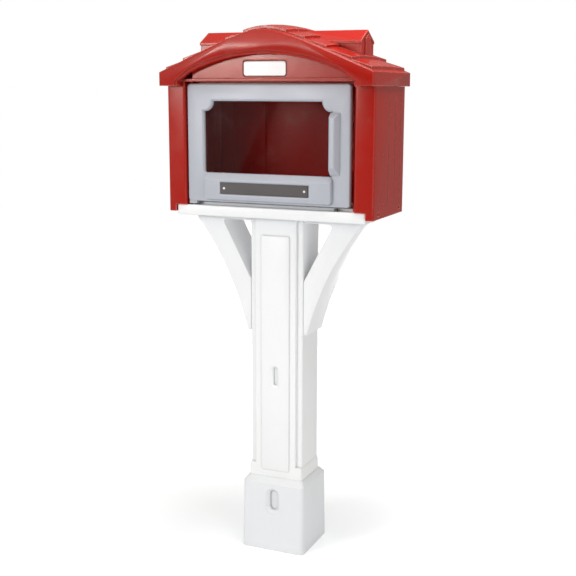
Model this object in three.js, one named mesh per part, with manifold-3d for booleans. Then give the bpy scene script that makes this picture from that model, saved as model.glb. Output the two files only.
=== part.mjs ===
// Street book exchange box: a red moulded house with a grey windowed door, on a white post.
// Millimetres, +Z up, the front faces -Y, and the origin is on the ground under the middle.
import * as THREE from 'three';
import { mergeVertices } from 'three/addons/utils/BufferGeometryUtils.js';
import Module from 'manifold-3d';

const wasm = await Module();
wasm.setup();

// Driving dimensions of the whole object
const POST_HEIGHT = 1030;
const BODY_HALF_WIDTH = 320;
const HALF_DEPTH = 167.5;
const EAVE_RISE = 344.4;
const TIMBER_SIDE = 89;

// Free space between pieces that touch, and how far a cutter runs past the face it opens
const GAP = 0.3;
const PAST = 30;

// Steps on a rounded corner, a long curve, a slope, the ridge and the crown, and round a turned piece
const CORNER_STEPS = 4;
const ARCH_STEPS = 20;
const SLOPE_STEPS = 3;
const RIDGE_STEPS = 10;
const CROWN_STEPS = 6;
const TURNED_SIDES = 12;

const COLLAR = {
  overX: 18,
  overY: 35,
  cornerRadius: 14,
  shoulder: 212,
  shoulderShareX: 0.98,
  shoulderShareY: 0.947,
  top: 229,
  rimOver: 2,
  wallX: 8,
  wallY: 12,
  cavityRadius: 8,
  deck: 12,
  slotHeight: 158.8,
  dishHalfWidth: 22,
  dishHalfHeight: 41,
  dishDepth: 9,
  pocketDepth: 8,
  pocketFloor: 5,
  bossMargin: 5,
};

const SLEEVE = {
  roomX: 39.5,
  roomY: 18.5,
  cornerRadius: 6,
  wall: 5,
  bandOver: 3,
  bandFrontOver: 10,
  bandRadius: 7,
  bandTop: 259,
  bandLip: 9,
  bandLipShare: 0.972,
  pilasterInset: 19,
  pilasterDraft: 2,
  pilasterRise: 9,
  panelInset: 19,
  panelRise: 5,
  panelBevel: 4,
  panelRadius: 6,
  panelBottom: 251,
  panelTopDrop: 55,
  timberPlay: 1.5,
  ribOffset: 30,
  ribThickness: 4,
  bossSide: 20,
  bossHeight: 70,
  slotHeightShare: 0.5317,
  dishHalfWidth: 12.5,
  dishHalfHeight: 34,
  dishDepth: 6,
  pocketDepth: 5,
  pocketFloor: 4,
  bossMargin: 4,
};

const BRACE = {
  sideInset: 1,
  reachInset: 34.5,
  railThickness: 14,
  footWidth: 12.5,
  footDrop: 348,
  outerBow: 18,
  edgeBevel: 4.5,
  windowShare: 0.528,
  windowCornerDrop: 192,
  windowRadius: 8,
  wall: 5,
  hollowTopShare: 0.548,
  hollowFootDrop: 285,
  hollowInset: 11,
  hollowCornerDrop: 15,
  hollowSideDrop: 20,
  drainRadius: 5,
  drainDepth: 15,
  tongueBottomDrop: 330,
  tongueTopDrop: 240,
  tongueHalfDepth: 30,
  tongueLength: 8,
};

const PLATFORM = {
  thickness: 30.6,
  frontInset: 6,
  cornerRadius: 6,
  edgeBevel: 3,
  deck: 6,
  rim: 8,
  seatMargin: 3,
  pocketMargin: 25,
  pocketDepthMargin: 11,
  middleMargin: 6,
  thresholdRise: 8,
  thresholdDepth: 8,
};

const SHELL = {
  skirtDrop: 20.2,
  wall: 23.5,
  cornerRadius: 7,
  backWall: 24,
  frontOver: 36.5,
  backOver: 27.5,
  postWidth: 57,
  postDepth: 32,
  postEdge: 5,
  stopReach: 14,
  stopDepth: 9,
  stopClearance: 2.4,
  skin: 3.8,
  ventRadius: 5,
  hollowBottom: 13,
  grooveWidth: 4,
  grooveDepth: 2.5,
  grooveBottom: 6.5,
  grooveTop: 6,
  sideGrooveShares: [0.461, 0.674, 0.854],
  backGrooveShares: [0.361, 0.698, 0.841],
  headerRise: 5,
  headerDepth: 44,
  headerSkin: 6,
  shoulderRise: 20,
  gableInset: 33.5,
  headerInset: 62.5,
  headerBottomRise: 12.7,
  headerTopRise: 15,
  ledgeRise: 3,
  ledgeHeight: 8,
  notchReach: 30,
  notchHeight: 40,
  notchDepth: 33,
  lugReach: 25,
  lugThickness: 7,
  lugSetBack: 6,
  badgeSink: 3,
  roofLugDepth: 27,
  roofLugHeight: 25,
  roofLugReach: 25,
};

const ROOF = {
  sideOver: 6,
  fasciaHeight: 38.5,
  pitchShare: 0.43,
  apexRound: 27.9,
  crown: 10,
  crownPowerShare: 6,
  skin: 5,
  fasciaDepth: 10,
  lipSetBack: 4,
  lipDepth: 19,
  fasciaBevel: 3.5,
  lipBevel: 5,
  archDrop: 58.5,
  archSpringHeight: 45.6,
  archInset: 92,
  archFootInset: 49,
  archFootRise: 13,
  lipReach: 8,
  courseInset: 20.5,
  buttShares: [0.2, 0.368, 0.563, 0.79, 0.961],
  courseThick: 8.5,
  courseThin: 1,
  courseBite: 3,
  keyWidth: 3,
  keyLength: 15,
  keyDepth: 6,
  oddKeyShare: 0.34,
  evenKeyShare: 0.525,
  sideSkin: 8,
  flangeReach: 30,
  flangeThickness: 8,
  bossSide: 27,
  bossHeight: 24,
  bossCap: 3,
};

const DORMER = {
  start: 40,
  endInset: 76.5,
  ridgeRise: 1.5,
  halfWidth: 52,
  eaveOver: 3,
  eaveDrop: 31,
  roofThickness: 7,
  roofOver: 1.5,
  footDrop: 100,
  ventHalf: 20,
  ventRise: 3,
  ventTopDrop: 13,
  ventShoulderDrop: 24,
};

const BADGE = {
  centerX: -3.9,
  centerDrop: 105.7,
  halfWidth: 64.5,
  halfHeight: 19.5,
  radius: 7,
  thickness: 4,
  margin: 3.5,
};

const DOOR = {
  hingeClearance: 4,
  latchClearance: 15.5,
  bottomClearance: 11.4,
  topClearance: 6.1,
  setBack: 7,
  thickness: 24,
  cornerRadius: 9,
  edgeBevel: 6,
  hingeStile: 54,
  latchStile: 56,
  windowBottom: 96,
  windowTopInset: 49,
  windowBevel: 5,
  scoopRadius: 29,
  windowRadius: 6,
  padInsetLeft: 59,
  padInsetRight: 51.5,
  padBottom: 19,
  padTop: 79,
  padRise: 14,
  padRadius: 10,
  padBevel: 6,
  sillRise: 17,
  plateInsetLeft: 53.5,
  plateInsetRight: 66.5,
  plateBottom: 37,
  plateTop: 70.4,
  plateSink: 3,
  plateMargin: 3,
  handleInset: 1.5,
  handleWidth: 27.5,
  handleDraft: 7,
  handleRise: 20,
  handleBottom: 99.5,
  handleTopInset: 79,
  handleTopSlope: 14,
  handleBottomSlope: 22,
  handleEdge: 4.5,
  rebateMargin: 14,
  rebateDepth: 11,
  pinInset: 11,
  pinSetBack: 12,
  tabReach: 27,
  tabDrop: 7.5,
  tabHalfDepth: 9,
  wall: 5,
  hingeEnd: 60,
};

const PANE = {
  thickness: 3,
  margin: 12.5,
  radius: 6,
};

const PLATE = {
  thickness: 1.6,
  radius: 2,
};

const PIN = {
  radius: 3.7,
  headRadius: 6,
  headHeight: 4,
  headFootShare: 0.6,
  upperLength: 34,
  lowerLength: 46,
  lowerInPlatform: 22,
  holePlay: 0.4,
  washerRadius: 9,
  washerThickness: 2.2,
};

const CATCH = {
  fromRight: 43,
  magnetRadius: 5,
  magnetLength: 8,
  keeperHalfWidth: 5.5,
  keeperHalfDepth: 6,
  keeperHeight: 7,
  keeperBevel: 1,
  keeperRadius: 2,
};

// Screws: shank radius, length, head radius and head height, and where each kind stands
const PLATFORM_SCREW = { radius: 3, length: 55, headRadius: 7, headHeight: 4, insetX: 14, insetY: 14 };
const BRACE_SCREW = { radius: 2.6, length: 30, headRadius: 6, headHeight: 3.5, fromSide: 41, offsetY: 34 };
const SKIRT_SCREW = {
  radius: 2.6,
  length: 42,
  headRadius: 5,
  headHeight: 3,
  frontShare: 0.333,
  backShare: 0.82,
  drop: 6,
};
const ROOF_SCREW = { radius: 2.6, length: 42, headRadius: 6.5, headHeight: 4 };
const PANE_SCREW = { radius: 1.6, length: 13, headRadius: 4, headHeight: 2.4, inset: 5.5 };

// A screw's point in shank radii, its head's rim and dome in head heights, and the dome's width
const SCREW_FORM = { pointShare: 2, rimShare: 0.45, domeShare: 0.9, crownShare: 0.7 };
const RECESS_PLAY = 1.2;
const HOLE_PLAY = 0.35;

// The post: the timber's socket, the sleeve round it, the sleeve's foot band, and the collar
const socketHalf = TIMBER_SIDE / 2 + SLEEVE.timberPlay;
const sleeveX = TIMBER_SIDE / 2 + SLEEVE.roomX;
const sleeveY = TIMBER_SIDE / 2 + SLEEVE.roomY;
const pilasterHalf = sleeveX - SLEEVE.pilasterInset;
const pilasterFace = sleeveY + SLEEVE.pilasterRise;
const bandX = sleeveX + SLEEVE.bandOver;
const bandFront = sleeveY + SLEEVE.bandFrontOver;
const collarX = sleeveX + COLLAR.overX;
const collarY = sleeveY + COLLAR.overY;
const sleeveFoot = COLLAR.shoulder + GAP;
const sleeveTop = POST_HEIGHT - GAP;

// The body: its levels, its front and back, and the room inside
const floorZ = POST_HEIGHT + PLATFORM.thickness;
const eaveZ = floorZ + EAVE_RISE;
const wallTop = eaveZ - GAP;
const skirtZ = floorZ - SHELL.skirtDrop;
const bodyFront = HALF_DEPTH - SHELL.frontOver;
const bodyBack = HALF_DEPTH - SHELL.backOver;
const innerHalf = BODY_HALF_WIDTH - SHELL.wall + GAP;
const innerBack = bodyBack - SHELL.backWall;
const jambX = BODY_HALF_WIDTH - SHELL.postWidth;
const headerZ = eaveZ + SHELL.headerBottomRise;
const headerFront = bodyFront + SHELL.headerRise;
const headerBack = headerFront - SHELL.headerDepth;
const gableHalf = BODY_HALF_WIDTH - SHELL.gableInset;
const platformHalf = innerHalf - GAP;
const platformFront = bodyFront - PLATFORM.frontInset;
const platformBack = innerBack - GAP;
const seatFront = pilasterFace + PLATFORM.seatMargin;
const seatBack = sleeveY + PLATFORM.seatMargin;

// The roof: its half width, its apex and the distances of its courses from the ridge
const roofHalf = BODY_HALF_WIDTH + ROOF.sideOver;
const roofRise = Math.hypot(ROOF.apexRound, ROOF.pitchShare * roofHalf) - ROOF.apexRound;
const apexZ = eaveZ + ROOF.fasciaHeight + roofRise;
const archSag = apexZ - ROOF.archDrop - ROOF.archSpringHeight - eaveZ;
const butts = ROOF.buttShares.map((share) => share * roofHalf);
const dormerEnd = roofHalf - DORMER.endInset;
const badgeZ = apexZ - BADGE.centerDrop;

// The door: its edges, its window, pad, plate and pull, and where its hinge and magnet stand
const doorLeft = jambX - DOOR.hingeClearance;
const doorRight = jambX - DOOR.latchClearance;
const doorZ = floorZ + DOOR.bottomClearance;
const doorTop = headerZ - DOOR.topClearance;
const windowTop = doorTop - DOOR.windowTopInset;
const doorFront = bodyFront - DOOR.setBack;
const doorBack = doorFront - DOOR.thickness;
const windowLeft = doorLeft - DOOR.hingeStile;
const windowRight = doorRight - DOOR.latchStile;
const padLeft = doorLeft - DOOR.padInsetLeft;
const padRight = doorRight - DOOR.padInsetRight;
const plateLeft = padLeft - DOOR.plateInsetLeft;
const plateRight = padRight - DOOR.plateInsetRight;
const handleLeft = windowRight - DOOR.handleInset;
const handleRight = handleLeft + DOOR.handleWidth;
const pinX = DOOR.pinInset - doorLeft;
const pinY = DOOR.pinSetBack - doorFront;
const magnetX = doorRight - CATCH.fromRight;
const stopInner = jambX - SHELL.stopReach;
const stopFront = SHELL.stopClearance - doorBack;

// The braces: their depth, reach and rail
const braceSide = sleeveX + GAP;
const braceHalfDepth = sleeveY - BRACE.sideInset;
const braceReach = platformHalf - BRACE.reachInset;
const braceTop = POST_HEIGHT - GAP;
const braceRailZ = braceTop - BRACE.railThickness;
const braceFoot = POST_HEIGHT - BRACE.footDrop;
const braceCornerZ = POST_HEIGHT - BRACE.windowCornerDrop;
const braceWindowX = sleeveX + (braceReach - sleeveX) * BRACE.windowShare;
const braceScrewX = sleeveX + BRACE_SCREW.fromSide;
const tongueBottom = POST_HEIGHT - BRACE.tongueBottomDrop;
const tongueTop = POST_HEIGHT - BRACE.tongueTopDrop;

// Materials: one per finish, and each mesh gets its own copy
const finishes = {
  white: { color: 0xeeeeec, roughness: 0.5, metalness: 0 },
  red: { color: 0xa5281f, roughness: 0.45, metalness: 0 },
  grey: { color: 0xa9acb3, roughness: 0.45, metalness: 0 },
  plate: { color: 0x55524f, roughness: 0.5, metalness: 0 },
  badge: { color: 0xf6f4f4, roughness: 0.35, metalness: 0 },
  clear: { color: 0xdfe6ea, roughness: 0.05, metalness: 0, transparent: true, opacity: 0.3 },
  steel: { color: 0xb8babd, roughness: 0.35, metalness: 1 },
  dark: { color: 0x2b2b2d, roughness: 0.6, metalness: 0 },
};

const model = new THREE.Group();

// Turns a closed three.js geometry into a solid that can be joined and cut.
function solid(geometry) {
  geometry.deleteAttribute('normal');
  geometry.deleteAttribute('uv');
  const merged = mergeVertices(geometry);
  const vertProperties = new Float32Array(merged.attributes.position.array);
  const triVerts = new Uint32Array(merged.index.array);
  return new wasm.Manifold(new wasm.Mesh({ numProp: 3, vertProperties, triVerts }));
}

// Adds a finished solid to the model as one named mesh.
function addPiece(name, shape, finish) {
  const mesh = shape.getMesh();
  const geometry = new THREE.BufferGeometry();
  geometry.setAttribute('position', new THREE.BufferAttribute(mesh.vertProperties, 3));
  geometry.setIndex(new THREE.BufferAttribute(mesh.triVerts, 1));
  geometry.computeVertexNormals();
  const piece = new THREE.Mesh(geometry, new THREE.MeshStandardMaterial(finishes[finish]));
  piece.name = name;
  model.add(piece);
}

function block(x0, x1, y0, y1, z0, z1) {
  const geometry = new THREE.BoxGeometry(x1 - x0, y1 - y0, z1 - z0);
  geometry.translate((x0 + x1) / 2, (y0 + y1) / 2, (z0 + z1) / 2);
  return solid(geometry);
}

// A rectangle with round corners, drawn anticlockwise.
function roundRect(x0, x1, y0, y1, radius) {
  const shape = new THREE.Shape();
  shape.moveTo(x0 + radius, y0);
  shape.absarc(x1 - radius, y0 + radius, radius, -Math.PI / 2, 0, false);
  shape.absarc(x1 - radius, y1 - radius, radius, 0, Math.PI / 2, false);
  shape.absarc(x0 + radius, y1 - radius, radius, Math.PI / 2, Math.PI, false);
  shape.absarc(x0 + radius, y0 + radius, radius, Math.PI, Math.PI * 1.5, false);
  return shape;
}

// A rectangle with round corners about the origin.
function centred(halfWidth, halfDepth, radius) {
  return roundRect(-halfWidth, halfWidth, -halfDepth, halfDepth, radius);
}

// An upright slot with half-round ends.
function obround(x, y, halfWidth, halfHeight) {
  return roundRect(x - halfWidth, x + halfWidth, y - halfHeight, y + halfHeight, halfWidth);
}

// Extrudes a shape between two levels. The bevel is cut inward from the outline at both ends.
function extrude(shape, from, to, bevel = 0, steps = CORNER_STEPS) {
  const geometry = new THREE.ExtrudeGeometry(shape, {
    depth: to - from - 2 * bevel,
    bevelEnabled: bevel > 0,
    bevelThickness: bevel,
    bevelSize: bevel,
    bevelOffset: -bevel,
    bevelSegments: 2,
    curveSegments: steps,
  });
  geometry.translate(0, 0, from + bevel);
  return geometry;
}

function alongZ(shape, z0, z1, bevel, steps) {
  return solid(extrude(shape, z0, z1, bevel, steps));
}

// The shape's x and y become X and Z, and it runs from y0 to y1.
function alongY(shape, y0, y1, bevel, steps) {
  const geometry = extrude(shape, -y1, -y0, bevel, steps);
  geometry.rotateX(Math.PI / 2);
  return solid(geometry);
}

// The shape's x and y become Y and Z, and it runs from x0 to x1.
function alongX(shape, x0, x1, bevel, steps) {
  const geometry = extrude(shape, x0, x1, bevel, steps);
  geometry.rotateY(Math.PI / 2);
  geometry.rotateX(Math.PI / 2);
  return solid(geometry);
}

// A cutter that sinks a shape into a face at y, wider at the face by its bevel.
function sinkY(shape, y, depth, bevel) {
  const geometry = new THREE.ExtrudeGeometry(shape, {
    depth: PAST,
    bevelThickness: depth,
    bevelSize: bevel,
    bevelSegments: 1,
    curveSegments: CORNER_STEPS,
  });
  geometry.rotateX(Math.PI / 2);
  geometry.translate(0, y, 0);
  return solid(geometry);
}

// Draws in a geometry toward its axis by shares that grow from z0 to z1.
function taper(geometry, z0, z1, shareX, shareY) {
  const position = geometry.attributes.position;
  for (let i = 0; i < position.count; i += 1) {
    const along = (position.getZ(i) - z0) / (z1 - z0);
    position.setX(i, position.getX(i) * (1 + (shareX - 1) * along));
    position.setY(i, position.getY(i) * (1 + (shareY - 1) * along));
  }
  return geometry;
}

// A grid of box segments, placed by a function of its three shares.
function mappedBox(stepsX, stepsY, place) {
  const geometry = new THREE.BoxGeometry(1, 1, 1, stepsX, stepsY, 1);
  const position = geometry.attributes.position;
  for (let i = 0; i < position.count; i += 1) {
    const [x, y, z] = place(position.getX(i) + 0.5, position.getY(i) + 0.5, position.getZ(i) + 0.5);
    position.setXYZ(i, x, y, z);
  }
  return solid(geometry);
}

// A closed polygon from a list of corner points.
function polygon(points) {
  return new THREE.Shape(points.map(([x, y]) => new THREE.Vector2(x, y)));
}

// A round bar, standing on z0.
function bar(x, y, z0, z1, radius, sides = TURNED_SIDES) {
  const geometry = new THREE.CylinderGeometry(radius, radius, z1 - z0, sides);
  geometry.rotateX(Math.PI / 2);
  geometry.translate(x, y, (z0 + z1) / 2);
  return solid(geometry);
}

// A pan-head screw with its seat at the origin, its head above and its point down.
function screwGeometry(size) {
  const { radius, length, headRadius, headHeight } = size;
  const profile = [
    [0, -length],
    [radius, -length + radius * SCREW_FORM.pointShare],
    [radius, 0],
    [headRadius, 0],
    [headRadius, headHeight * SCREW_FORM.rimShare],
    [headRadius * SCREW_FORM.crownShare, headHeight * SCREW_FORM.domeShare],
    [0, headHeight],
  ];
  const points = profile.map(([x, y]) => new THREE.Vector2(x, y));
  const geometry = new THREE.LatheGeometry(points, TURNED_SIDES);
  geometry.rotateX(Math.PI / 2);
  return geometry;
}

// Joins or cuts a list of solids.
function joined(list) {
  return list.reduce((all, next) => all.add(next));
}

function cut(body, list) {
  return list.reduce((left, next) => left.subtract(next), body);
}

function mirrored(shape) {
  return shape.mirror([1, 0, 0]);
}

// The ribs that hold the timber inside a hollow of the given half sizes.
function timberRibs(halfWidth, halfDepth, offset, thickness, z0, z1) {
  const ribs = [];
  for (const side of [-1, 1]) {
    for (const at of [-offset, offset]) {
      const inner = side * socketHalf;
      const outerX = side * (halfWidth + GAP);
      const outerY = side * (halfDepth + GAP);
      const t = thickness / 2;
      ribs.push(block(Math.min(inner, outerX), Math.max(inner, outerX), at - t, at + t, z0, z1));
      ribs.push(block(at - t, at + t, Math.min(inner, outerY), Math.max(inner, outerY), z0, z1));
    }
  }
  return joined(ribs);
}

// A dished recess with a blind pocket in its floor, cut into a wall that faces the front.
function recessCutters(size, face, height) {
  const flatWidth = size.dishHalfWidth - size.dishDepth;
  const flatHeight = size.dishHalfHeight - size.dishDepth;
  const dish = obround(0, height, flatWidth, flatHeight);
  const pocket = obround(0, height, flatWidth - GAP, flatHeight - GAP);
  const floor = -face + size.dishDepth + size.pocketDepth;
  return [sinkY(dish, -face, size.dishDepth, size.dishDepth), alongY(pocket, -face - PAST, floor)];
}

// The boss that closes the recess behind the wall.
function recessBoss(size, face, height) {
  const x = size.dishHalfWidth + size.bossMargin;
  const z = size.dishHalfHeight + size.bossMargin;
  const back = -face + size.dishDepth + size.pocketDepth + size.pocketFloor;
  return block(-x, x, -face, back, height - z, height + z);
}

// Base collar: a chamfered box round the foot of the post, open below, with a seat for the sleeve.
function makeCollar() {
  const c = COLLAR;
  const hollow = centred(collarX - c.wallX, collarY - c.wallY, c.cavityRadius);
  const face = collarY * (1 + ((c.shoulderShareY - 1) * c.slotHeight) / c.shoulder);
  const cavity = alongZ(hollow, -PAST, c.shoulder - c.deck).subtract(recessBoss(c, face, c.slotHeight));
  const timber = block(-socketHalf, socketHalf, -socketHalf, socketHalf, -PAST, c.top + PAST);
  const seat = alongZ(bandOutline(GAP), c.shoulder, c.top + PAST);
  return cut(collarBody(), [cavity, timber, seat, ...recessCutters(c, face, c.slotHeight)]);
}

// The collar's outside: it draws in a little to the shoulder, then chamfers in to the rim.
function collarBody() {
  const c = COLLAR;
  const outline = centred(collarX, collarY, c.cornerRadius);
  const lower = taper(extrude(outline, 0, c.shoulder, 0), 0, c.shoulder, c.shoulderShareX, c.shoulderShareY);
  const width = collarX * c.shoulderShareX;
  const depth = collarY * c.shoulderShareY;
  const rimX = bandX + c.rimOver;
  const rimY = bandFront + c.rimOver;
  const shoulder = extrude(centred(width, depth, c.cornerRadius * c.shoulderShareX), c.shoulder, c.top, 0);
  const chamfer = taper(shoulder, c.shoulder, c.top, rimX / width, rimY / depth);
  return solid(lower).add(solid(chamfer));
}

// The outline of the sleeve's foot band, grown by a margin.
function bandOutline(grow) {
  const w = bandX + grow;
  return roundRect(-w, w, -bandFront - grow, sleeveY + SLEEVE.bandOver + grow, SLEEVE.bandRadius + grow);
}

// The sleeve's outline seen from above, with its pilaster.
function sleeveSection() {
  const w = sleeveX;
  const d = sleeveY;
  const base = pilasterHalf + SLEEVE.pilasterDraft;
  const r = SLEEVE.cornerRadius;
  const shape = new THREE.Shape();
  shape.moveTo(-base, -d);
  shape.lineTo(-pilasterHalf, -pilasterFace);
  shape.lineTo(pilasterHalf, -pilasterFace);
  shape.lineTo(base, -d);
  shape.absarc(w - r, -d + r, r, -Math.PI / 2, 0, false);
  shape.absarc(w - r, d - r, r, 0, Math.PI / 2, false);
  shape.absarc(-w + r, d - r, r, Math.PI / 2, Math.PI, false);
  shape.absarc(-w + r, -d + r, r, Math.PI, Math.PI * 1.5, false);
  return shape;
}

// Post sleeve: a ribbed hollow section with a raised front panel and a foot band, open at both ends.
function makeSleeve() {
  const s = SLEEVE;
  const panelHalf = pilasterHalf - s.panelInset;
  const panel = roundRect(-panelHalf, panelHalf, s.panelBottom, POST_HEIGHT - s.panelTopDrop, s.panelRadius);
  const face = pilasterFace + s.panelRise;
  const slotZ = POST_HEIGHT * s.slotHeightShare;
  const raised = alongY(panel, -face, -pilasterFace + s.wall, s.panelBevel);
  const band = alongZ(bandOutline(0), sleeveFoot, s.bandTop);
  const lipTop = s.bandTop + s.bandLip;
  const share = s.bandLipShare;
  const lip = taper(extrude(bandOutline(0), s.bandTop, lipTop), s.bandTop, lipTop, share, share);
  const body = joined([alongZ(sleeveSection(), sleeveFoot, sleeveTop), raised, band, solid(lip)]);
  const hollow = sleeveHollow().subtract(recessBoss(s, face, slotZ));
  return cut(body, [hollow, ...bossHoles(), ...tongueSlots(), ...recessCutters(s, face, slotZ)]);
}

// The sleeve's inside, open at both ends: it leaves the timber ribs and the screw bosses standing.
function sleeveHollow() {
  const s = SLEEVE;
  const innerX = sleeveX - s.wall;
  const innerY = sleeveY - s.wall;
  const front = innerY + s.pilasterRise;
  const half = pilasterHalf - s.wall;
  const inside = alongZ(centred(innerX, innerY, s.cornerRadius), sleeveFoot - PAST, sleeveTop + PAST);
  const pilaster = block(-half, half, -front, 0, sleeveFoot - PAST, sleeveTop + PAST);
  const ribs = timberRibs(innerX, front, s.ribOffset, s.ribThickness, sleeveFoot, sleeveTop);
  const h = s.bossSide / 2;
  const bosses = platformScrewPlaces().map(([x, y]) =>
    block(x - h, x + h, y - h, y + h, sleeveTop - s.bossHeight, sleeveTop));
  return inside.add(pilaster).subtract(joined([ribs, ...bosses]));
}

function bossHoles() {
  const hole = PLATFORM_SCREW.radius + HOLE_PLAY;
  return platformScrewPlaces().map(([x, y]) =>
    bar(x, y, sleeveTop - PLATFORM_SCREW.length, sleeveTop + PAST, hole));
}

// Slots in the sleeve's sides for the tongues of the braces.
function tongueSlots() {
  const b = BRACE;
  const half = b.tongueHalfDepth + GAP;
  const deep = sleeveX - SLEEVE.wall - PAST / 2;
  const right = block(deep, sleeveX + PAST, -half, half, tongueBottom - GAP, tongueTop + GAP);
  return [right, mirrored(right)];
}

// The four corners of a screw pattern.
function corners(x, y) {
  return [[-x, -y], [-x, y], [x, -y], [x, y]];
}

function platformScrewPlaces() {
  return corners(sleeveX - PLATFORM_SCREW.insetX, sleeveY - PLATFORM_SCREW.insetY);
}

function braceScrewPlaces() {
  return corners(braceScrewX, BRACE_SCREW.offsetY);
}

// The outline of the right brace in X and Z.
function braceOutline() {
  const b = BRACE;
  const foot = braceSide + b.footWidth;
  const middle = [(foot + braceReach) / 2, (braceFoot + braceTop) / 2];
  const across = [braceTop - braceFoot, foot - braceReach];
  const length = Math.hypot(across[0], across[1]);
  const bow = b.outerBow * 2;
  const control = [middle[0] - (across[0] * bow) / length, middle[1] - (across[1] * bow) / length];
  const shape = new THREE.Shape();
  shape.moveTo(braceSide, braceFoot);
  shape.lineTo(foot, braceFoot);
  shape.quadraticCurveTo(control[0], control[1], braceReach, braceTop - b.railThickness);
  shape.lineTo(braceReach, braceTop);
  shape.lineTo(braceSide, braceTop);
  return shape;
}

// The open window of the brace, between the post, the top rail and the diagonal.
function braceWindow() {
  const slopeX = braceWindowX - sleeveX;
  const slopeZ = braceRailZ - braceCornerZ;
  const length = Math.hypot(slopeX, slopeZ);
  const round = BRACE.windowRadius * 2;
  const shape = new THREE.Shape();
  shape.moveTo(sleeveX - PAST, braceCornerZ - (PAST * slopeZ) / slopeX);
  shape.lineTo(braceWindowX - (slopeX / length) * round, braceRailZ - (slopeZ / length) * round);
  shape.quadraticCurveTo(braceWindowX, braceRailZ, braceWindowX - round, braceRailZ);
  shape.lineTo(sleeveX - PAST, braceRailZ);
  return shape;
}

// Right brace: a bowed bracket with a top rail, an open window and a tongue in the sleeve's slot.
function makeBrace() {
  const b = BRACE;
  const body = alongY(braceOutline(), -braceHalfDepth, braceHalfDepth, b.edgeBevel, ARCH_STEPS / 2);
  const window = alongY(braceWindow(), -braceHalfDepth - PAST, braceHalfDepth + PAST);
  const tongue = block(braceSide - b.tongueLength, braceSide + b.wall, -b.tongueHalfDepth, b.tongueHalfDepth,
    tongueBottom, tongueTop);
  const screws = braceScrewPlaces().map(([x, y]) =>
    bar(x, y, braceRailZ - PAST, POST_HEIGHT + PAST, BRACE_SCREW.radius + HOLE_PLAY));
  return cut(body, [window, ...braceHollow(), ...screws]).add(tongue);
}

// The hollow of the diagonal, and its drain up through the rail.
function braceHollow() {
  const b = BRACE;
  const high = braceRailZ - b.wall;
  const low = POST_HEIGHT - b.hollowFootDrop;
  const inner = braceWindowX + b.hollowInset;
  const outer = braceReach - (braceReach - braceWindowX) * b.hollowTopShare;
  const outline = polygon([
    [braceSide + b.wall, low],
    [braceSide + b.footWidth + b.wall, low],
    [outer, high],
    [inner, high],
    [braceSide + b.hollowInset, braceCornerZ - b.hollowCornerDrop],
    [braceSide + b.wall, braceCornerZ - b.hollowSideDrop],
  ]);
  const hollow = alongY(outline, b.wall - braceHalfDepth, braceHalfDepth - b.wall);
  const drain = bar((inner + outer) / 2, 0, braceRailZ - b.drainDepth, POST_HEIGHT + PAST, b.drainRadius);
  return [hollow, drain];
}

// Platform: a shallow moulded tray, hollow below, that is also the floor of the box.
function makePlatform() {
  const p = PLATFORM;
  const outline = roundRect(-platformHalf, platformHalf, -platformFront, platformBack, p.cornerRadius);
  const body = alongZ(outline, POST_HEIGHT, floorZ, p.edgeBevel);
  return cut(body.add(threshold()), [...platformPockets(), ...platformHoles()]);
}

// The low step behind the door that keeps rain out, between the door stops.
function threshold() {
  const p = PLATFORM;
  const x = stopInner - GAP;
  return block(-x, x, stopFront, stopFront + p.thresholdDepth, floorZ - p.deck, floorZ + p.thresholdRise);
}

// Pockets in the platform's underside, between its rim and the seats for the post and the braces.
function platformPockets() {
  const p = PLATFORM;
  const edge = platformHalf - p.rim;
  const low = POST_HEIGHT - PAST;
  const top = floorZ - p.deck;
  const m = socketHalf - p.middleMargin;
  const depth = sleeveY - p.pocketDepthMargin;
  const right = block(braceScrewX + p.pocketMargin, edge, -depth, depth, low, top);
  return [
    block(-edge, edge, -platformFront + p.rim, -seatFront, low, top),
    block(-edge, edge, seatBack, platformBack - p.rim, low, top),
    block(-m, m, -m, m, low, top),
    right,
    mirrored(right),
  ];
}

// Holes for the platform's, braces' and skirts' screws and for the lower hinge pin.
function platformHoles() {
  const screw = PLATFORM_SCREW;
  const low = POST_HEIGHT - PAST;
  const high = floorZ + PAST;
  const seat = floorZ - screw.headHeight - RECESS_PLAY;
  const deep = POST_HEIGHT - BRACE.railThickness + BRACE_SCREW.length;
  const list = [bar(pinX, pinY, floorZ - PIN.lowerInPlatform - GAP, high, PIN.radius + PIN.holePlay)];
  for (const [x, y] of platformScrewPlaces()) {
    list.push(bar(x, y, low, high, screw.radius + HOLE_PLAY));
    list.push(bar(x, y, seat, high, screw.headRadius + RECESS_PLAY));
  }
  for (const [x, y] of braceScrewPlaces()) {
    list.push(bar(x, y, low, deep, BRACE_SCREW.radius + HOLE_PLAY));
  }
  for (const [side, y] of skirtScrewPlaces()) {
    list.push(crossBar(side, y, SKIRT_SCREW.radius + HOLE_PLAY));
  }
  return list;
}

// The side and the y of each skirt screw, which ends in the platform's front or back pocket.
function skirtScrewPlaces() {
  const front = seatFront + (platformFront - PLATFORM.rim - seatFront) * SKIRT_SCREW.frontShare;
  const back = seatBack + (platformBack - PLATFORM.rim - seatBack) * SKIRT_SCREW.backShare;
  return [-1, 1].flatMap((side) => [[side, -front], [side, back]]);
}

// A hole along X for the screws at one end of the platform.
function crossBar(side, y, radius, from = 0, to = SKIRT_SCREW.length) {
  const head = BODY_HALF_WIDTH - SKIRT_SCREW.headHeight - RECESS_PLAY;
  const geometry = new THREE.CylinderGeometry(radius, radius, to - from, TURNED_SIDES);
  geometry.rotateZ(Math.PI / 2);
  const middle = head - (from + to) / 2;
  geometry.translate(side * middle, y, floorZ - SKIRT_SCREW.drop);
  return solid(geometry);
}

// Height of the roof's plain surface at the gable ends.
function gableZ(x) {
  return apexZ - (Math.hypot(ROOF.apexRound, ROOF.pitchShare * x) - ROOF.apexRound);
}

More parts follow.
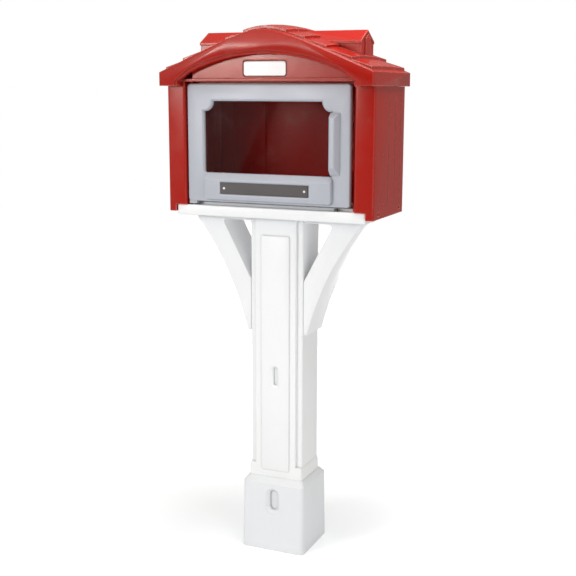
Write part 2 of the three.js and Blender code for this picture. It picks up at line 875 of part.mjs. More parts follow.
// Height of the roof's plain surface anywhere: it swells a little between front and back.
function roofZ(x, y) {
  const across = 1 - Math.abs(x / roofHalf) ** ROOF.crownPowerShare;
  const along = 1 - (y / HALF_DEPTH) ** 2;
  return gableZ(x) + ROOF.crown * across * along;
}

// Points of the gable curve, lowered by a drop, from one half width to the other.
function gablePoints(half, drop) {
  const points = [];
  for (let i = 0; i <= ARCH_STEPS; i += 1) {
    const x = half * (1 - (2 * i) / ARCH_STEPS);
    points.push([x, gableZ(x) - drop]);
  }
  return points;
}

// Shell: two hollow side walls and a back wall, front posts, a header over the door and door stops.
function makeShell() {
  const s = SHELL;
  const w = BODY_HALF_WIDTH;
  const outline = roundRect(-w, w, -bodyFront, bodyBack, s.cornerRadius);
  const room = block(-innerHalf, innerHalf, -bodyFront - PAST, innerBack, skirtZ - PAST, wallTop + PAST);
  const walls = alongZ(outline, skirtZ, wallTop).subtract(room);
  const parts = [walls, backGable(), ...shellHeader(), ...frontPosts(), ...shoulders()];
  const body = joined([...parts, ...doorStops(), ...roofLugs()]);
  const pinHole = bar(pinX, pinY, doorTop, headerZ + PAST, PIN.radius + PIN.holePlay);
  return cut(cut(body, shellCutters()).add(hingeLug()), [pinHole]);
}

// The back wall's gable, up inside the roof.
function backGable() {
  const curve = gablePoints(gableHalf, ROOF.skin + GAP * 2);
  const gable = polygon([[-gableHalf, floorZ], [gableHalf, floorZ], ...curve]);
  const above = block(-BODY_HALF_WIDTH, BODY_HALF_WIDTH, 0, bodyBack + PAST, floorZ + GAP, apexZ + PAST);
  return alongY(gable, innerBack, bodyBack).intersect(above);
}

// The header over the door, which fills the front gable, and the ledge along its foot.
function shellHeader() {
  const s = SHELL;
  const side = eaveZ + s.headerTopRise;
  const half = BODY_HALF_WIDTH - s.headerInset;
  const curve = gablePoints(gableHalf, ROOF.skin + GAP * 2);
  const outline = polygon([[-half, headerZ], [half, headerZ], [gableHalf, side], ...curve, [-gableHalf, side]]);
  const front = headerFront + s.ledgeRise;
  const ledge = block(-half, half, -front, -headerBack, headerZ, headerZ + s.ledgeHeight);
  return [alongY(outline, -headerFront, -headerBack), ledge];
}

// The two front corner posts, which stand on the platform's edge.
function frontPosts() {
  const s = SHELL;
  const outer = BODY_HALF_WIDTH - s.cornerRadius;
  const outline = roundRect(jambX, outer, -bodyFront, -bodyFront + s.postDepth, s.postEdge);
  const right = alongZ(outline, floorZ + GAP, wallTop);
  return [right, mirrored(right)];
}

// Blocks that join the posts to the header, inside the roof.
function shoulders() {
  const s = SHELL;
  const low = wallTop - s.skin;
  const right = block(jambX, gableHalf, -bodyFront, -headerBack, low, eaveZ + s.shoulderRise);
  return [right, mirrored(right)];
}

// The hollow of the header, open at the top inside the roof.
function headerHollow() {
  const s = SHELL;
  const half = BODY_HALF_WIDTH - s.headerInset - s.notchReach - s.headerSkin;
  const low = headerZ + s.ledgeHeight + s.headerSkin;
  const outline = polygon([[-half, low], [half, low], ...gablePoints(half, -PAST)]);
  return alongY(outline, -headerFront + s.headerSkin, -headerBack - s.headerSkin);
}

// Lips behind the door that it shuts against, at both sides and along the top.
function doorStops() {
  const s = SHELL;
  const back = stopFront + s.stopDepth;
  const top = headerZ + s.ledgeHeight;
  const right = block(stopInner, jambX + s.cornerRadius, stopFront, back, floorZ + GAP, top);
  const over = block(-jambX, jambX, stopFront, back, headerZ - s.stopReach, top);
  return [right, mirrored(right), over];
}

// Corner lugs inside the top of the walls, which take the roof's screws.
function roofLugs() {
  const s = SHELL;
  const x0 = innerHalf - s.roofLugReach;
  const x1 = innerHalf + s.skin;
  const low = wallTop - s.roofLugHeight;
  const list = [];
  const half = s.roofLugDepth / 2;
  for (const y of roofScrewRows()) {
    const right = block(x0, x1, y - half, y + half, low, wallTop);
    list.push(right, mirrored(right));
  }
  return list;
}

// The front and back rows of the roof's screws, clear of the header and the back gable.
function roofScrewRows() {
  const half = ROOF.bossSide / 2 + GAP * 2;
  return [-headerBack + half, innerBack - half];
}

function roofScrewPlaces() {
  const x = innerHalf - SHELL.roofLugReach / 2;
  return roofScrewRows().flatMap((y) => [[-x, y], [x, y]]);
}

// Everything that is cut from the shell: wall hollows, board grooves, screw recesses, badge seat.
function shellCutters() {
  return [
    ...wallHollows(),
    ...postHollows(),
    headerHollow(),
    ...boardGrooves(),
    ...skirtHoles(),
    ...roofScrewPlaces().map(([x, y]) =>
      bar(x, y, wallTop - PAST, wallTop + PAST, ROOF_SCREW.radius + HOLE_PLAY)),
    badgeSeat(),
    hingeNotch(),
  ];
}

// The hollows of the side walls, open at the top, and of the back wall between them.
function wallHollows() {
  const s = SHELL;
  const low = floorZ + s.hollowBottom;
  const inner = innerHalf + s.skin;
  const outer = BODY_HALF_WIDTH - s.skin;
  const front = -bodyFront + s.postDepth + s.skin;
  const right = block(inner, outer, front, bodyBack - s.skin, low, wallTop + PAST);
  const back = block(-outer, outer, innerBack + s.skin, bodyBack - s.skin, low, wallTop - s.skin);
  return [right, mirrored(right), back];
}

// The hollows of the front posts, with a vent up into the roof.
function postHollows() {
  const s = SHELL;
  const low = floorZ + s.hollowBottom;
  const outer = BODY_HALF_WIDTH - s.skin;
  const back = -bodyFront + s.postDepth - s.skin;
  const hollow = block(jambX + s.skin, outer, -bodyFront + s.skin, back, low, wallTop - s.skin);
  const middle = -bodyFront + s.postDepth / 2;
  const vent = bar((jambX + outer) / 2, middle, wallTop - PAST, wallTop + PAST * 2, s.ventRadius);
  return [hollow, mirrored(hollow), vent, mirrored(vent)];
}

// The board grooves of both sides and of the back wall, outside and inside.
function boardGrooves() {
  const s = SHELL;
  const low = floorZ + s.grooveBottom;
  const high = wallTop - s.grooveTop;
  const half = s.grooveWidth / 2;
  const deep = s.grooveDepth;
  const w = BODY_HALF_WIDTH;
  const sideAt = s.sideGrooveShares.map((share) => (bodyFront + bodyBack) * share - bodyFront);
  const backAt = s.backGrooveShares.map((share) => w * share);
  const right = [
    ...sideAt.map((y) => block(w - deep, w + deep, y - half, y + half, low, high)),
    ...backAt.map((x) => block(x - half, x + half, bodyBack - deep, bodyBack + deep, low, high)),
    ...backAt.map((x) => block(x - half, x + half, innerBack - deep, innerBack + deep, low, high)),
  ];
  return [...right, ...right.map(mirrored)];
}

// The skirts' screw holes, with a recess for each head.
function skirtHoles() {
  return skirtScrewPlaces().flatMap(([side, y]) => [
    crossBar(side, y, SKIRT_SCREW.radius + HOLE_PLAY),
    crossBar(side, y, SKIRT_SCREW.headRadius + RECESS_PLAY, -PAST, 0),
  ]);
}

// The seat of the badge plate in the header.
function badgeSeat() {
  const b = BADGE;
  const x = b.halfWidth + b.margin;
  const z = b.halfHeight + b.margin;
  const outline = roundRect(b.centerX - x, b.centerX + x, badgeZ - z, badgeZ + z, b.radius + b.margin);
  return alongY(outline, -headerFront - PAST, -headerFront + SHELL.badgeSink);
}

// The notch at the header's left end, where the upper hinge pin goes in.
function hingeNotch() {
  const s = SHELL;
  const low = headerZ + s.lugThickness;
  const back = -headerFront + s.notchDepth;
  return block(-jambX - GAP, -jambX + s.notchReach, -HALF_DEPTH, back, low, low + s.notchHeight);
}

// The lug that carries the upper hinge pin, at the left end of the header.
function hingeLug() {
  const s = SHELL;
  const base = headerZ - GAP;
  const front = s.lugSetBack - bodyFront;
  return block(-jambX - s.skin, -jambX + s.lugReach, front, -headerBack, base, base + s.lugThickness);
}

// The arch under the front and back gables, from its right foot to its left foot.
function archPoints(inset) {
  const r = ROOF;
  const half = roofHalf - r.archInset;
  const full = (half ** 2 + archSag ** 2) / (archSag * 2);
  const radius = full - inset;
  const centerZ = apexZ - r.archDrop - full;
  const foot = roofHalf - r.archFootInset - inset;
  const points = [[foot, eaveZ], [foot, eaveZ + r.archFootRise]];
  for (let i = 0; i <= ARCH_STEPS; i += 1) {
    const x = half * (1 - (2 * i) / ARCH_STEPS);
    points.push([x, centerZ + Math.sqrt(radius ** 2 - x ** 2)]);
  }
  points.push([-foot, eaveZ + r.archFootRise], [-foot, eaveZ]);
  return points;
}

// One gable fascia: the gable outline with the arch cut out of it.
function fasciaShape(inset) {
  const w = roofHalf;
  return polygon([[-w, eaveZ], ...gablePoints(w, 0).reverse(), [w, eaveZ], ...archPoints(inset)].reverse());
}

// The fascia at one end: a front plate, and a rounded lip behind it that reaches further down.
function fascia(end) {
  const r = ROOF;
  const face = HALF_DEPTH;
  const span = [face - r.fasciaDepth, face];
  const lipSpan = [face - r.lipSetBack - r.lipDepth, face - r.lipSetBack];
  const place = ([a, b]) => (end < 0 ? [-b, -a] : [a, b]);
  const plate = alongY(fasciaShape(0), ...place(span), r.fasciaBevel);
  const lip = alongY(fasciaShape(r.lipReach), ...place(lipSpan), r.lipBevel);
  return plate.add(lip);
}

// One shingle course between two distances from the ridge, thick at its lower edge.
function course(upper, lower) {
  const r = ROOF;
  return mappedBox(SLOPE_STEPS, CROWN_STEPS, (u, v, w) => {
    const x = upper + (lower - upper) * u;
    const y = (HALF_DEPTH - r.courseInset) * (2 * v - 1);
    const lift = r.courseThin + (r.courseThick - r.courseThin) * u;
    return [x, y, roofZ(x, y) + (w > 0.5 ? lift : -r.courseBite)];
  });
}

// The ridge course, which wraps over the top.
function ridgeCourse() {
  const r = ROOF;
  const half = butts[0];
  return mappedBox(RIDGE_STEPS, CROWN_STEPS, (u, v, w) => {
    const x = half * (2 * u - 1);
    const y = (HALF_DEPTH - r.courseInset) * (2 * v - 1);
    return [x, y, roofZ(x, y) + (w > 0.5 ? r.courseThick : -r.courseBite)];
  });
}

// The narrow slots between the tabs of a course.
function keyways(index) {
  const r = ROOF;
  const butt = butts[index];
  const place = HALF_DEPTH * (index % 2 === 0 ? r.oddKeyShare : r.evenKeyShare);
  return [-place, place].flatMap((y) => {
    const z = roofZ(butt, y) + r.courseThick;
    const half = r.keyWidth / 2;
    const right = block(butt - r.keyLength, butt + r.keyWidth, y - half, y + half, z - r.keyDepth, z + PAST);
    return [right, mirrored(right)];
  });
}

// A solid between two drops under the plain roof surface, over the whole roof.
function roofLayer(half, depth, topDrop, bottomZ) {
  return mappedBox(ARCH_STEPS, CROWN_STEPS, (u, v, w) => {
    const x = half * (2 * u - 1);
    const y = depth * (2 * v - 1);
    const top = roofZ(x, y) - topDrop;
    return [x, y, w > 0.5 ? top : bottomZ(top)];
  });
}

// Right dormer: a solid little gable that grows out of the slope, with a raised vent panel.
function dormer() {
  const d = DORMER;
  const ridge = apexZ + d.ridgeRise;
  const foot = ridge - d.footDrop;
  return joined([
    alongX(dormerWalls(ridge, foot), d.start, dormerEnd),
    alongX(dormerCover(ridge), d.start, dormerEnd + d.roofOver),
    alongX(dormerVent(ridge, foot), d.start, dormerEnd + d.ventRise),
  ]);
}

function dormerWalls(ridge, foot) {
  const d = DORMER;
  const half = d.halfWidth;
  const peak = ridge - d.roofThickness / 2;
  const top = peak - (d.eaveDrop / (half + d.eaveOver)) * half;
  return polygon([[-half, foot], [half, foot], [half, top], [0, peak], [-half, top]]);
}

function dormerCover(ridge) {
  const d = DORMER;
  const outer = d.halfWidth + d.eaveOver;
  const eave = ridge - d.eaveDrop;
  const under = eave - d.roofThickness;
  const peak = ridge - d.roofThickness;
  return polygon([[0, ridge], [-outer, eave], [-outer, under], [0, peak], [outer, under], [outer, eave]]);
}

function dormerVent(ridge, foot) {
  const d = DORMER;
  const half = d.ventHalf;
  const side = ridge - d.ventShoulderDrop;
  return polygon([[-half, foot], [half, foot], [half, side], [0, ridge - d.ventTopDrop], [-half, side]]);
}

// Roof: a hollow moulding with arched fascias, five shingle courses on each slope and two dormers.
function makeRoof() {
  const r = ROOF;
  const w = roofHalf;
  const depth = HALF_DEPTH - r.fasciaDepth;
  const whole = roofLayer(w, depth, 0, () => eaveZ - PAST);
  const above = block(-w, w, -depth, depth, eaveZ, apexZ + PAST);
  const field = cut(joined([whole.intersect(above), ...courses()]), butts.flatMap((butt, i) => keyways(i)));
  const gable = dormer();
  const roof = joined([field, gable, mirrored(gable), fascia(-1), fascia(1)]);
  return cut(roof, [roofRoom(), archOpening()]).add(roofFlanges());
}

// The ridge course and the four courses of each slope.
function courses() {
  const right = butts.slice(1).map((butt, i) => course(butts[i], butt));
  return [ridgeCourse(), ...right, ...right.map(mirrored)];
}

// The roof's inner room, which stops behind the lips of the fascias.
function roofRoom() {
  const r = ROOF;
  const inner = HALF_DEPTH - r.lipSetBack - r.lipDepth;
  const all = roofLayer(roofHalf - r.sideSkin, HALF_DEPTH, r.skin, () => eaveZ - PAST);
  return all.intersect(block(-roofHalf, roofHalf, -inner, inner, eaveZ - PAST, apexZ + PAST));
}

// The arched opening through both fascias, as far as their lips reach.
function archOpening() {
  const foot = roofHalf - ROOF.archFootInset - ROOF.lipReach;
  const low = eaveZ - PAST;
  const outline = polygon([[foot, low], ...archPoints(ROOF.lipReach), [-foot, low]]);
  return alongY(outline, -HALF_DEPTH - PAST, HALF_DEPTH + PAST);
}

// The flanges that rest on the side walls, with a boss for each screw.
function roofFlanges() {
  const r = ROOF;
  const depth = HALF_DEPTH - r.fasciaDepth;
  const outer = roofHalf - r.sideSkin / 2;
  const right = block(roofHalf - r.flangeReach, outer, -depth, depth, eaveZ, eaveZ + r.flangeThickness);
  const list = [right, mirrored(right)];
  const h = r.bossSide / 2;
  for (const [x, y] of roofScrewPlaces()) {
    const [x0, x1] = x < 0 ? [-outer, x + h] : [x - h, outer];
    const boss = block(x0, x1, y - h, y + h, eaveZ, eaveZ + r.bossHeight);
    const hole = bar(x, y, eaveZ - PAST, eaveZ + r.bossHeight - r.bossCap, ROOF_SCREW.radius + HOLE_PLAY);
    list.push(boss.subtract(hole));
  }
  return joined(list);
}

// Badge plate: a blank white plate in the header.
function makeBadge() {
  const b = BADGE;
  const outline = roundRect(b.centerX - b.halfWidth, b.centerX + b.halfWidth, badgeZ - b.halfHeight,
    badgeZ + b.halfHeight, b.radius);
  const back = -headerFront + SHELL.badgeSink - GAP;
  return alongY(outline, back - b.thickness, back);
}

// The door's window outline in X and Z, with scooped top corners.
function windowShape() {
  const d = DOOR;
  const left = -windowLeft;
  const right = windowRight;
  const low = floorZ + d.windowBottom;
  const high = windowTop;
  const r = d.windowRadius;
  const s = d.scoopRadius;
  const shape = new THREE.Shape();
  shape.moveTo(left + r, low);
  shape.absarc(right - r, low + r, r, -Math.PI / 2, 0, false);
  shape.absarc(right, high, s, -Math.PI / 2, -Math.PI, true);
  shape.absarc(left, high, s, 0, -Math.PI / 2, true);
  shape.absarc(left + r, low + r, r, Math.PI, Math.PI * 1.5, false);
  return shape;
}

// The raised lower pad with its sloping sill under the window.
function doorPad() {
  const d = DOOR;
  const face = -doorFront;
  const low = floorZ + d.padBottom;
  const high = floorZ + d.padTop;
  const outline = roundRect(-padLeft, padRight, low, high + d.sillRise, d.padRadius);
  const raised = alongY(outline, face - d.padRise, face + d.padBevel, d.padBevel);
  const slope = polygon([
    [face - d.padRise - PAST, high],
    [face - d.padRise, high],
    [face + GAP, high + d.sillRise],
    [face + GAP, high + d.sillRise + PAST],
    [face - d.padRise - PAST, high + d.sillRise + PAST],
  ]);
  const above = alongX(slope, -padLeft - PAST, padRight + PAST);
  return cut(raised, [above, sinkY(plateOutline(0), face - d.padRise, d.plateSink, d.plateMargin)]);
}

// The name plate's outline in X and Z, drawn in by a margin.
function plateOutline(inset) {
  const d = DOOR;
  const low = floorZ + d.plateBottom + inset;
  return roundRect(-plateLeft + inset, plateRight - inset, low, floorZ + d.plateTop - inset, PLATE.radius);
}

// The pull: a moulded hump along the window's edge, with sloping ends and one drafted side.
function doorHandle() {
  const d = DOOR;
  const low = floorZ + d.handleBottom;
  const high = doorTop - d.handleTopInset;
  const face = -doorFront;
  const top = face - d.handleRise;
  const edge = d.handleEdge;
  const inside = face + d.edgeBevel;
  const plan = polygon([
    [handleLeft, inside],
    [handleLeft, top + edge],
    [handleLeft + edge, top],
    [handleRight - d.handleDraft - edge, top],
    [handleRight - d.handleDraft, top + edge],
    [handleRight, face],
    [handleRight, inside],
  ]);
  const side = polygon([
    [inside, low],
    [face, low],
    [top, low + d.handleBottomSlope],
    [top, high - d.handleTopSlope],
    [face, high],
    [inside, high],
  ]);
  const ends = alongX(side, handleLeft - PAST, handleRight + PAST);
  return alongZ(plan, low - PAST, high + PAST).intersect(ends);
}

// Door frame: one grey moulding with the window opening, pad, pull and lower hinge tab.
function makeDoor() {
  const d = DOOR;
  const outline = roundRect(-doorLeft, doorRight, doorZ, doorTop, d.cornerRadius);
  const slab = alongY(outline, -doorFront, -doorBack, d.edgeBevel);
  const window = windowShape();
  const opening = alongY(window, -doorFront - PAST, -doorBack + PAST);
  const bevel = sinkY(window, -doorFront, d.windowBevel, d.windowBevel);
  const body = cut(slab.add(hingeTab()), [opening, bevel]);
  const seat = alongY(paneOutline(d.rebateMargin), -doorBack - d.rebateDepth, -doorBack + PAST);
  const screws = paneScrewPlaces().map(([x, z]) => paneScrewHole(x, z));
  return cut(joined([body, doorPad(), doorHandle()]), [seat, ...doorPockets(), ...doorBores(), ...screws]);
}

// The tab under the door's hinge edge, which stands on the washer.
function hingeTab() {
  const d = DOOR;
  const x = d.edgeBevel / 2 - doorLeft;
  const y = d.tabHalfDepth;
  return block(x, d.tabReach - doorLeft, pinY - y, pinY + y, doorZ - d.tabDrop, doorZ + d.cornerRadius);
}

// The window's outline as a plain rectangle, grown by a margin.
function paneOutline(margin) {
  const d = DOOR;
  const low = floorZ + d.windowBottom - margin;
  const high = windowTop + margin;
  return roundRect(-windowLeft - margin, windowRight + margin, low, high, PANE.radius);
}

// Pockets in the door's back: they leave a wall round each stile and rail, and the hinge's ends full.
function doorPockets() {
  const d = DOOR;
  const t = d.wall;
  const m = d.rebateMargin + t;
  const sill = floorZ + d.windowBottom - m;
  const head = windowTop + m;
  const front = -doorFront + t;
  const back = -doorBack + PAST;
  const low = doorZ + d.hingeEnd;
  const high = doorTop - d.hingeEnd;
  return [
    block(-doorLeft + t, -windowLeft - m, front, back, low, high),
    block(windowRight + m, doorRight - t, front, back, low, high),
    block(-windowLeft, windowRight, front, back, head, doorTop - t),
    block(-padLeft + d.padRadius, padRight - d.padRadius, front, back, floorZ + d.padBottom + t, sill),
  ];
}

// Bores for the two hinge pins and the magnet.
function doorBores() {
  const hole = PIN.radius + PIN.holePlay;
  const low = doorZ - PAST;
  const pinTop = floorZ + PIN.lowerLength - PIN.lowerInPlatform + PIN.holePlay;
  return [
    bar(pinX, pinY, doorTop - PIN.upperLength, doorTop + PAST, hole),
    bar(pinX, pinY, low, pinTop, hole),
    bar(magnetX, pinY, low, doorZ + CATCH.magnetLength + GAP * 2, CATCH.magnetRadius + GAP),
  ];
}

// Where the pane's screws stand, in X and Z.
function paneScrewPlaces() {
  const d = DOOR;
  const inset = PANE_SCREW.inset;
  const left = -windowLeft - inset;
  const right = windowRight + inset;
  const low = floorZ + d.windowBottom - inset;
  const high = windowTop + inset;
  const middle = (windowRight - windowLeft) / 2;
  return [[left, low], [middle, low], [right, low], [left, high], [middle, high], [right, high]];
}

function paneScrewHole(x, z) {
  const radius = PANE_SCREW.radius + GAP;
  const geometry = new THREE.CylinderGeometry(radius, radius, PANE_SCREW.length, TURNED_SIDES);
  const front = -doorBack - DOOR.rebateDepth + PANE.thickness + GAP * 2;
  geometry.translate(x, front - PANE_SCREW.length / 2, z);
  return solid(geometry);
}

// Window pane: clear sheet in the rebate behind the opening.
function makePane() {
  const front = -doorBack - DOOR.rebateDepth + GAP;
  const sheet = alongY(paneOutline(PANE.margin), front, front + PANE.thickness);
  return cut(sheet, paneScrewPlaces().map(([x, z]) => paneScrewHole(x, z)));
}

// Name plate: a blank dark plate in the pad's seat.
function makePlate() {
  const back = -doorFront - DOOR.padRise + DOOR.plateSink - GAP;
  return alongY(plateOutline(GAP), back - PLATE.thickness, back);
}

// Upper hinge pin: a headed pin down through the lug into the door.
function makeUpperPin() {
  const p = PIN;
  const seat = headerZ + SHELL.lugThickness;
  const shank = bar(pinX, pinY, doorTop - p.upperLength + p.holePlay * 2, seat + GAP, p.radius);
  const foot = p.headRadius * p.headFootShare;
  const geometry = new THREE.CylinderGeometry(p.headRadius, foot, p.headHeight, TURNED_SIDES);
  geometry.rotateX(-Math.PI / 2);
  geometry.translate(pinX, pinY, seat + p.headHeight / 2);
  return shank.add(solid(geometry));
}

// Lower hinge pin: a plain pin between the platform and the door.
function makeLowerPin() {
  const low = floorZ - PIN.lowerInPlatform;
  return bar(pinX, pinY, low, low + PIN.lowerLength, PIN.radius);
}

// The washer that the door turns on.
function makeWasher() {
  const low = floorZ + GAP;
  const ring = bar(pinX, pinY, low, low + PIN.washerThickness, PIN.washerRadius);
  return ring.subtract(bar(pinX, pinY, low - PAST, low + PAST, PIN.radius + PIN.holePlay));
}

function makeMagnet() {
  return bar(magnetX, pinY, doorZ, doorZ + CATCH.magnetLength, CATCH.magnetRadius);
}

// Keeper: a small steel-faced block on the platform under the magnet.
function makeKeeper() {
  const c = CATCH;
  const outline = roundRect(magnetX - c.keeperHalfWidth, magnetX + c.keeperHalfWidth, pinY - c.keeperHalfDepth,
    pinY + c.keeperHalfDepth, c.keeperRadius);
  return alongZ(outline, floorZ + GAP, floorZ + GAP + c.keeperHeight, c.keeperBevel);
}

// Adds numbered screws of one kind, each turned and moved into place by a function.
function addScrews(name, size, places, put) {
  places.forEach((place, index) => {
    const geometry = screwGeometry(size);
    put(geometry, place);
    addPiece(`${name}_${index + 1}`, solid(geometry), 'steel');
  });
}

addPiece('base_collar', makeCollar(), 'white');
addPiece('post_sleeve', makeSleeve(), 'white');
const rightBrace = makeBrace();
addPiece('left_brace', mirrored(rightBrace), 'white');
addPiece('right_brace', rightBrace, 'white');
addPiece('platform', makePlatform(), 'white');
addPiece('box_shell', makeShell(), 'red');
addPiece('roof', makeRoof(), 'red');
addPiece('badge_plate', makeBadge(), 'badge');
addPiece('door_frame', makeDoor(), 'grey');
addPiece('window_pane', makePane(), 'clear');
addPiece('name_plate', makePlate(), 'plate');
addPiece('upper_hinge_pin', makeUpperPin(), 'red');
addPiece('lower_hinge_pin', makeLowerPin(), 'steel');
addPiece('hinge_washer', makeWasher(), 'dark');
addPiece('door_magnet', makeMagnet(), 'dark');
addPiece('catch_keeper', makeKeeper(), 'dark');

// Four screws go down through the platform into the sleeve's bosses.
addScrews('platform_screw', PLATFORM_SCREW, platformScrewPlaces(), (geometry, [x, y]) => {
  geometry.translate(x, y, floorZ - PLATFORM_SCREW.headHeight - RECESS_PLAY + GAP);
});

// Two screws go up through each brace's rail into the platform.
addScrews('brace_screw', BRACE_SCREW, braceScrewPlaces(), (geometry, [x, y]) => {
  geometry.rotateX(Math.PI);
  geometry.translate(x, y, braceRailZ - GAP);
});

// Two screws in each skirt hold the shell to the platform's ends.
addScrews('skirt_screw', SKIRT_SCREW, skirtScrewPlaces(), (geometry, [side, y]) => {
  geometry.rotateY((side * Math.PI) / 2);
  const seat = BODY_HALF_WIDTH - SKIRT_SCREW.headHeight - RECESS_PLAY + GAP;
  geometry.translate(side * seat, y, floorZ - SKIRT_SCREW.drop);
});

// Four screws go up through the shell's corner lugs into the roof's bosses.
addScrews('roof_screw', ROOF_SCREW, roofScrewPlaces(), (geometry, [x, y]) => {
  geometry.rotateX(Math.PI);
  geometry.translate(x, y, wallTop - SHELL.roofLugHeight - GAP);
});

// Six screws hold the pane in the door.
addScrews('pane_screw', PANE_SCREW, paneScrewPlaces(), (geometry, [x, z]) => {
  geometry.rotateX(-Math.PI / 2);
  geometry.translate(x, -doorBack - DOOR.rebateDepth + PANE.thickness + GAP * 2, z);
});

export default model;
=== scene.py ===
import bpy
import numpy as np
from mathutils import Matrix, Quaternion, Vector


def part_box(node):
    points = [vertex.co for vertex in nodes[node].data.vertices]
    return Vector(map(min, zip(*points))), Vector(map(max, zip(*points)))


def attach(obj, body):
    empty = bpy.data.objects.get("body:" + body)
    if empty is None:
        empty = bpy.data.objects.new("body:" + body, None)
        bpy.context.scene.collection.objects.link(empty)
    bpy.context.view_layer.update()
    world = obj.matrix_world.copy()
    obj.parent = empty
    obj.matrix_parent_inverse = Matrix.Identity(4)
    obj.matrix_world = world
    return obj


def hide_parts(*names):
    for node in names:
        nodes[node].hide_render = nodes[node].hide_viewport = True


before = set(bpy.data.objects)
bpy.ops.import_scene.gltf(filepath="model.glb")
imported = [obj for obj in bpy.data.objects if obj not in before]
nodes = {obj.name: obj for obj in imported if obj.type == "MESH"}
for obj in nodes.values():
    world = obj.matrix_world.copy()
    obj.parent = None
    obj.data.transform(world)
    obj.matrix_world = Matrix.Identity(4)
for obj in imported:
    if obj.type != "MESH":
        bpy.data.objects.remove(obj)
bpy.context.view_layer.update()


# Base collar.
# The white box round the foot of the post, chamfered at its top and open below. Rotationally
# moulded polyethylene: soft edges, a fine grain, and a little dust just above the ground.
def add_node(tree, kind, inputs, **settings):
    """One node of a tree: its settings, and each input as a fixed value or a node's output."""
    node = tree.nodes.new(kind)
    for name, value in settings.items():
        setattr(node, name, value)
    for socket, value in inputs.items():
        if isinstance(value, bpy.types.NodeSocket):
            tree.links.new(value, node.inputs[socket])
        else:
            node.inputs[socket].default_value = value
    return node


def object_place(tree):
    """The place of a point in the object's own coordinates, in metres."""
    return add_node(tree, "ShaderNodeTexCoord", {}).outputs["Object"]


def noise(tree, place, scale, detail=2.0, roughness=0.5):
    """A cloudy noise with its patches about 1 / scale metres wide."""
    inputs = {"Vector": place, "Scale": scale, "Detail": detail, "Roughness": roughness}
    return add_node(tree, "ShaderNodeTexNoise", inputs).outputs["Fac"]


def ramp(tree, value, low, high, to_low=0.0, to_high=1.0, **settings):
    """A value's range from low to high carried over to another range, and held at its ends."""
    ends = {"From Min": low, "From Max": high, "To Min": to_low, "To Max": to_high}
    inputs = {"Value": value, **ends}
    return add_node(tree, "ShaderNodeMapRange", inputs, **settings).outputs["Result"]


def reckon(tree, operation, a, b=0.0, **settings):
    """One step of arithmetic on numbers."""
    node = add_node(tree, "ShaderNodeMath", {0: a, 1: b}, operation=operation, **settings)
    return node.outputs["Value"]


def reckon_place(tree, operation, a, b=(0.0, 0.0, 0.0), result="Vector"):
    """One step of arithmetic on places."""
    node = add_node(tree, "ShaderNodeVectorMath", {0: a, 1: b}, operation=operation)
    return node.outputs[result]


def dim(tree, colour, factor):
    """A colour times a number."""
    inputs = {0: colour, "Scale": factor}
    return add_node(tree, "ShaderNodeVectorMath", inputs, operation="SCALE").outputs["Vector"]


def mix_colours(tree, share, first, second):
    """The first colour where the share is 0, going over to the second where it is 1."""
    inputs = {"Factor": share, "A": first, "B": second}
    return add_node(tree, "ShaderNodeMix", inputs, data_type="RGBA").outputs["Result"]


def skin_group(name, inputs):
    """An empty shader group with named inputs, for a colour, a roughness and a normal."""
    group = bpy.data.node_groups.new(name, "ShaderNodeTree")
    for label, value in inputs.items():
        kind = "NodeSocketColor" if isinstance(value, tuple) else "NodeSocketFloat"
        socket = group.interface.new_socket(label, in_out="INPUT", socket_type=kind)
        socket.default_value = value
    outputs = {
        "Colour": "NodeSocketColor",
        "Roughness": "NodeSocketFloat",
        "Normal": "NodeSocketVector",
    }
    for label, kind in outputs.items():
        group.interface.new_socket(label, in_out="OUTPUT", socket_type=kind)
    return group, add_node(group, "NodeGroupInput", {}).outputs


